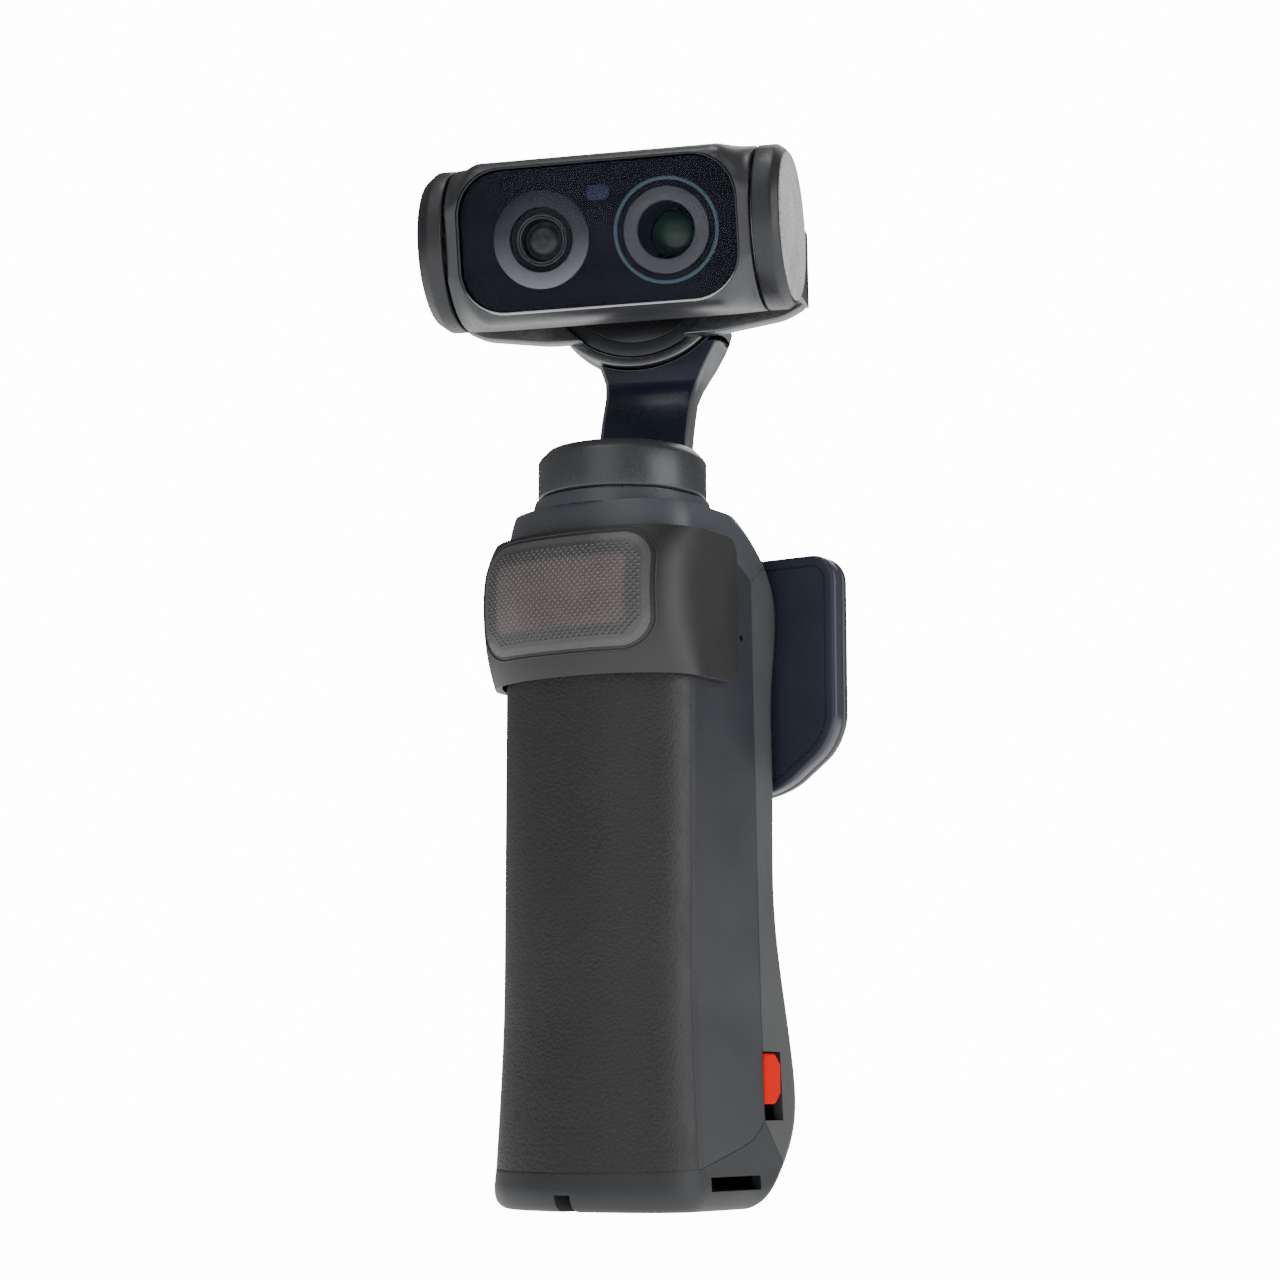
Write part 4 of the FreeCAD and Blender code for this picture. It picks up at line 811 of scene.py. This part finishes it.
def roomTool(radius):
    # the yoke's hub turns in this room
    front, back = neck["roomFront"], neck["roomBack"]
    return aboutRoll([(0, front), (radius, front), (radius, back), (0, back)])


bar = carved(drawnBar(neckSections, neck["corner"]), roomTool(neck["hubRoom"]))
housingProfile = [(0, 18.6), (13.4, 18.6), (14.5, 18.2), (15.05, 17.1), (15.05, 13.9), (13.3, 13.9),
                  (13.3, 10.3), (11.3, 10.3), (11.3, 11.4), (0, 11.4)]
housing = softEdges(aboutRoll(housingProfile), neck["round"], 2)
for face in housing.faces:
    face.material_index = 1 if face.calc_center_median().y < neck["ringBack"] else 0
finishPiece(joined(painted(bar, 0), housing), "neckArm", "pan_arm", panPose,
            (neckMetal, hubDark), "neck_arm", slot="metal_grey")
inset, proud = neck["plateInset"], neck["plateProud"]
plateSections = [(z, left + inset, right - inset, front - proud, front + neck["plateDepth"])
                 for z, left, right, front, rear in neckSections]
neckPlate = carved(drawnBar(plateSections, neck["plateCorner"], 2),
                   roomTool(neck["hubRoom"] + neck["plateGap"]))
finishPiece(neckPlate, "neckPlate", "pan_arm", panPose, neckGloss, "neck_cover", slot="black_gloss")
discProfile = [(0, 10.4), (11.2, 10.4), (11.2, 11.6), (0, 11.6)]
motorDisc = softEdges(aboutRoll(discProfile), neck["discRound"], 2)
finishPiece(motorDisc, "motorDisc", "pan_arm",
            panPose, blackGloss, "roll_motor_disc", slot="black_gloss")
panProfile = [(0, 107.5), (10.4, 107.5), (10.9, 107.35), (11.9, 106.3), (12.2, 105.8), (12.2, 100.6),
              (11.9, 100.3), (10.8, 100.3), (10.8, 104.9), (0, 104.9)]
panRing = softEdges(lathe(panProfile, (0, 0, 0), "Z", 112), neck["round"], 2, 35)
finishPiece(panRing, "panRing", "pan_arm", panPose, motorMetal, "pan_ring")
print("neck ready")


# the clip-on light: a bowed housing with two arms, a bead round its window, a prism field
lamp = {
    "bottom": 72.9, "top": 93.7, "bulgeZ": 84.9, "bulgePower": 2.2, "rimStep": 0.5, "half": 17.1,
    "rimDepth": 10.4, "depth": 12.3, "centreY": -4.8, "armEnd": 3.6, "armCorner": 2.4, "wall": 1.1,
    "centreZ": 84.5, "halfWidth": 13.9, "halfHeight": 8.1, "corner": 4.4, "border": 1.0, "frame": 3.1,
    "fieldDark": (0.072, 0.062, 0.060), "fieldLight": (0.102, 0.088, 0.086),
    "frameColour": (0.050, 0.0475, 0.051), "borderColour": (0.070, 0.066, 0.066),
    "studPitch": 0.92, "studRadius": 0.36, "studRise": 0.16, "studMargin": 0.3, "studRows": 20,
    "studTop": 0.3, "studSink": 0.4, "beadRadius": 0.22, "beadOut": 0.45, "beadSink": 0.08,
    "armShare": 0.22, "round": 0.3,
}
lampShape = lampLens("lampWindow", lamp)


def lampFront(x, z):
    # the housing's front face: nearly an ellipse at the rims, square-shouldered between
    reachZ = lamp["bulgeZ"] - lamp["bottom"] if z < lamp["bulgeZ"] else lamp["top"] - lamp["bulgeZ"]
    bulge = 1 - (abs(z - lamp["bulgeZ"]) / (reachZ + lamp["rimStep"])) ** lamp["bulgePower"]
    depth = lamp["rimDepth"] + (lamp["depth"] - lamp["rimDepth"]) * bulge
    power = 2 + bulge
    share = min(abs(x) / lamp["half"], 1.0)
    return lamp["centreY"] - depth * (1 - share ** power) ** (1 / power)


def lampHousing(columns=88, rows=30):
    # a sheet bent to the front face and the arms, then given its wall
    mesh = bmesh.new()
    bmesh.ops.create_grid(mesh, x_segments=columns, y_segments=rows, size=1.0)
    wide = max(vert.co.x for vert in mesh.verts)
    armShare, centreY = lamp["armShare"], lamp["centreY"]
    for vert in mesh.verts:
        across, up = vert.co.x / wide, vert.co.y / wide
        height = math.sin(up * math.pi / 2)
        z = (lamp["bottom"] + lamp["top"]) / 2 + height * (lamp["top"] - lamp["bottom"]) / 2
        fromEdge = min(z - lamp["bottom"], lamp["top"] - z)
        rounding = max(0.0, lamp["armCorner"] - fromEdge)
        end = lamp["armEnd"] - lamp["armCorner"] + math.sqrt(max(0.0, lamp["armCorner"] ** 2 - rounding ** 2))
        if abs(across) > 1 - armShare:
            share = (abs(across) - 1 + armShare) / armShare
            vert.co = (math.copysign(lamp["half"], across), centreY + share * (end - centreY), z)
        else:
            angle = across / (1 - armShare) * math.pi / 2
            x = lamp["half"] * math.sin(angle)
            vert.co = (x, lampFront(x, z), z)
    outward(mesh)
    if sum((face.normal.y for face in mesh.faces if abs(face.calc_center_median().x) < 5)) > 0:
        bmesh.ops.reverse_faces(mesh, faces=mesh.faces[:])
    bmesh.ops.solidify(mesh, geom=mesh.faces[:], thickness=lamp["wall"])
    return outward(mesh)


finishPiece(softEdges(lampHousing(), lamp["round"], 3, 50), "lampHousing", "fill_light", straight,
            lampShell, "light_housing", slot="light_shell")
lensMesh = nodeMesh("light_diffuser")
surface = BVHTree.FromBMesh(lensMesh)


def onWindow(x, z):
    return surface.ray_cast(Vector((x, -40, z)), Vector((0, 1, 0)))[:2]


pitch = lamp["studPitch"]
margin = lamp["border"] + lamp["studMargin"]
for row in range(-lamp["studRows"], lamp["studRows"] + 1):
    for column in range(-lamp["studRows"], lamp["studRows"] + 1):
        x = (column + 0.5 * (row % 2)) * pitch
        z = lamp["centreZ"] + row * pitch * 0.5
        fromSide = lamp["halfWidth"] - margin - abs(x)
        fromTop = lamp["halfHeight"] - margin - abs(z - lamp["centreZ"])
        roundness = lamp["corner"] - lamp["border"]
        inCorner = fromSide < roundness and fromTop < roundness
        beyond = math.hypot(roundness - fromSide, roundness - fromTop) > roundness
        if fromSide < 0 or fromTop < 0 or (inCorner and beyond):
            continue
        spot, facing = onWindow(x, z)
        if spot is None:
            continue
        turn = facing.to_track_quat("Z", "Y").to_matrix().to_4x4()
        place = Matrix.Translation(spot + facing * lamp["studRise"] * lamp["studSink"]) @ turn
        bmesh.ops.create_cone(lensMesh, cap_ends=True, segments=4, radius1=lamp["studRadius"],
                              radius2=lamp["studRadius"] * lamp["studTop"],
                              depth=lamp["studRise"], matrix=place)
finishPiece(lensMesh, "lampWindow", "fill_light", straight, lampShape, "light_diffuser",
            slot="diffuser", sharpAngle=20)

# the thin bead round the window
beadOut = lamp["beadOut"]
beadLine = plate(rectangle(lamp["halfWidth"] + beadOut, lamp["halfHeight"] + beadOut, 0, lamp["centreZ"]),
                 0, 0, lamp["corner"] + beadOut, 14)
longSides = [edge for edge in beadLine.edges if edge.calc_length() > 3]
bmesh.ops.subdivide_edges(beadLine, edges=longSides, cuts=24)
rounds = beadLine.faces[:][0].verts[:]
beadCurve = bpy.data.curves.new("lampBead", "CURVE")
beadCurve.dimensions = "3D"
beadCurve.bevel_depth = lamp["beadRadius"]
beadCurve.bevel_resolution = 3
spline = beadCurve.splines.new("POLY")
spline.points.add(len(rounds) - 1)
for point, vert in zip(spline.points, rounds):
    point.co = (vert.co.x, lampFront(vert.co.x, vert.co.z) + lamp["beadSink"], vert.co.z, 1)
spline.use_cyclic_u = True
beadLine.free()
beadObject = bpy.data.objects.new("lampBeadLine", beadCurve)
bpy.context.scene.collection.objects.link(beadObject)
beadMesh = bmesh.new()
beadMesh.from_mesh(bpy.data.meshes.new_from_object(beadObject))
bpy.data.objects.remove(beadObject)
outward(beadMesh)
finishPiece(beadMesh, "lampBead", "fill_light", straight, lampShell, slot="light_shell")
print("light ready")


# the swivel screen: a plate with its lower corners cut off
screen = {
    "half": (24.7, 17.5), "centreZ": 76.0, "cut": (10.0, 7.6), "cutShare": 0.45, "front": 18.4,
    "coverDepth": 2.5, "depth": 4.0, "corner": 4.0, "edge": 0.6, "grooveInset": 1.5, "grooveWidth": 0.22,
    "grooveDepth": 0.18, "grooveSlope": 0.05, "border": 1.0, "bezelRound": 0.5, "recess": 0.48,
    "paneGap": 0.02, "paneInset": 0.1, "paneRound": 0.15,
}


def screenOutline(inset):
    w, h = screen["half"][0] - inset, screen["half"][1] - inset
    cutX, cutZ = (size - inset * screen["cutShare"] for size in screen["cut"])
    points = [(-w, -h + cutZ), (-w + cutX, -h), (w - cutX, -h), (w, -h + cutZ), (w, h), (-w, h)]
    return [(x, z + screen["centreZ"]) for x, z in points]


cover = plate(screenOutline(0), screen["front"], screen["coverDepth"], screen["corner"])
softEdges(cover, screen["edge"], 4, 60)
front = min(cover.faces, key=lambda face: face.calc_center_median().y - face.calc_area() * 0.01)
bmesh.ops.inset_region(cover, faces=[front], thickness=screen["grooveInset"] - screen["edge"])
bmesh.ops.inset_region(cover, faces=[front], thickness=screen["grooveSlope"], depth=-screen["grooveDepth"])
bmesh.ops.inset_region(cover, faces=[front], thickness=screen["grooveWidth"])
bmesh.ops.inset_region(cover, faces=[front], thickness=screen["grooveSlope"], depth=screen["grooveDepth"])
finishPiece(cover, "screenCover", "screen", straight, screenFace, "screen_cover", slot="shell_dark",
            sharpAngle=50)
frameFront = screen["front"] + screen["coverDepth"]
frameDepth = screen["depth"] - screen["coverDepth"]
bezel = plate(screenOutline(0), frameFront, frameDepth, screen["corner"])
softEdges(bezel, screen["bezelRound"], 4, 60)
back = max(bezel.faces, key=lambda face: face.calc_center_median().y + face.calc_area() * 0.01)
bmesh.ops.inset_region(bezel, faces=[back], thickness=screen["border"] - screen["bezelRound"])
bmesh.ops.inset_region(bezel, faces=[back], thickness=screen["grooveSlope"], depth=-screen["recess"])
finishPiece(bezel, "screenBezel", "screen", straight, screenEdge, "screen_frame", slot="shell_dark",
            sharpAngle=50)
pane = plate(screenOutline(screen["border"] + screen["paneInset"]),
             frameFront + frameDepth - screen["recess"] + screen["paneGap"],
             screen["recess"] - 2 * screen["paneGap"], screen["corner"] - 1)
softEdges(pane, screen["paneRound"], 2, 60)
finishPiece(pane, "screenPane", "screen", straight, screenGloss, "screen_glass", slot="screen_face")
print("screen ready")

# rounded copies of CAD pieces: the latch, the leather and the grip's shells
rounding = {"latch": 0.35, "leather": 0.18, "front": 0.16, "rear": 0.22, "base": 0.18, "shoulder": 0.25}
roundedCopy("red_latch", "latchKey", rounding["latch"], "latch", redPlastic, "red", 3)
roundedCopy("leather_grip", "leatherWrap", rounding["leather"], "handle", leather, "leather", 2, 40)
roundedCopy("front_shell", "frontShell", rounding["front"], "handle", charcoal, "shell_dark", 2, 40,
            ("rear_shell", "base_cap", "shoulder_cap"))
roundedCopy("rear_shell", "rearShell", rounding["rear"], "handle", rearSlate, "shell_base", 2, 40,
            ("front_shell", "base_cap", "shoulder_cap"))
roundedCopy("base_cap", "baseCap", rounding["base"], "handle", baseSlate, "shell_base", 2, 40,
            ("front_shell", "rear_shell"))
roundedCopy("shoulder_cap", "shoulderCap", rounding["shoulder"], "handle", shoulderPlastic,
            "shell_dark", 3, 30, ("front_shell", "rear_shell"))
print("copies ready")


# camera, floor and soft light
view = {"lens": 78.75, "azimuth": 33.0, "distance": 0.397, "height": 0.0152, "pitch": 9.3,
        "imageMiddle": 640, "axisColumn": 622, "focalPixels": 2800}
camera = bpy.data.objects.new("camera", bpy.data.cameras.new("camera"))
bpy.context.scene.collection.objects.link(camera)
camera.data.lens = view["lens"]
camera.data.clip_start = 0.01
azimuth, pitchUp = math.radians(view["azimuth"]), math.radians(view["pitch"])
aim = math.atan((view["imageMiddle"] - view["axisColumn"]) / view["focalPixels"])
level = Vector((-math.sin(azimuth), math.cos(azimuth), 0))
side = Vector((math.cos(azimuth), math.sin(azimuth), 0))
camera.location = -level * view["distance"] + Vector((0, 0, view["height"]))
ahead = level * math.cos(aim) + side * math.sin(aim)
ahead = ahead * math.cos(pitchUp) + Vector((0, 0, 1)) * math.sin(pitchUp)
camera.rotation_euler = ahead.to_track_quat("-Z", "Y").to_euler()
bpy.context.scene.camera = camera

# the floor and the sky are brighter to the camera than to the pieces that mirror them
studio = {"floorGlow": 1.35, "floorSeen": 13.5, "backdrop": 15.0, "ambient": 0.18, "floorRadius": 6.0,
          "aimHeight": 0.08}
floorMesh = bmesh.new()
bmesh.ops.create_circle(floorMesh, cap_ends=True, segments=64, radius=studio["floorRadius"])
floor = asObject(floorMesh, "floor")
floorFinish = mouldedPlastic("paleFloor", (0.88, 0.88, 0.875), 0.6, grain=900, spread=0.01)
floorShader = floorFinish.node_tree.nodes["Principled BSDF"]
floorShader.inputs["Emission Color"].default_value = (1.0, 1.0, 0.995, 1)
floorTree = floorFinish.node_tree
floorRays = floorTree.nodes.new("ShaderNodeLightPath")
floorLight = span(floorTree, floorRays.outputs["Is Camera Ray"], 0.0, 1.0, studio["floorGlow"],
                  studio["floorSeen"])
floorTree.links.new(floorLight, floorShader.inputs["Emission Strength"])
floor.data.materials.append(floorFinish)

world = bpy.data.worlds.new("studio")
bpy.context.scene.world = world
world.use_nodes = True
skyTree = world.node_tree
rays = skyTree.nodes.new("ShaderNodeLightPath")
sky = skyTree.nodes["Background"]
sky.inputs["Color"].default_value = (1.0, 1.0, 0.998, 1)
skyLight = span(skyTree, rays.outputs["Is Camera Ray"], 0.0, 1.0, studio["ambient"], studio["backdrop"])
skyTree.links.new(skyLight, sky.inputs["Strength"])

softLights = [
    ("rightLight", (0.75, 0.04, 0.30), 0.55, 3.3),
    ("frontLight", (0.10, -0.85, 0.45), 0.60, 1.1),
    ("upperLight", (-0.05, -0.45, 0.85), 0.45, 1.1),
    ("backLight", (-0.20, 0.75, 0.70), 0.50, 1.6),
    ("topLight", (0.00, 0.04, 0.95), 0.34, 1.9),
]
for name, place, size, power in softLights:
    light = bpy.data.objects.new(name, bpy.data.lights.new(name, "AREA"))
    light.data.shape = "SQUARE"
    light.data.size = size
    light.data.energy = power
    light.location = place
    towards = Vector((0, 0, studio["aimHeight"])) - Vector(place)
    light.rotation_euler = towards.to_track_quat("-Z", "Y").to_euler()
    bpy.context.scene.collection.objects.link(light)
print("stage ready")
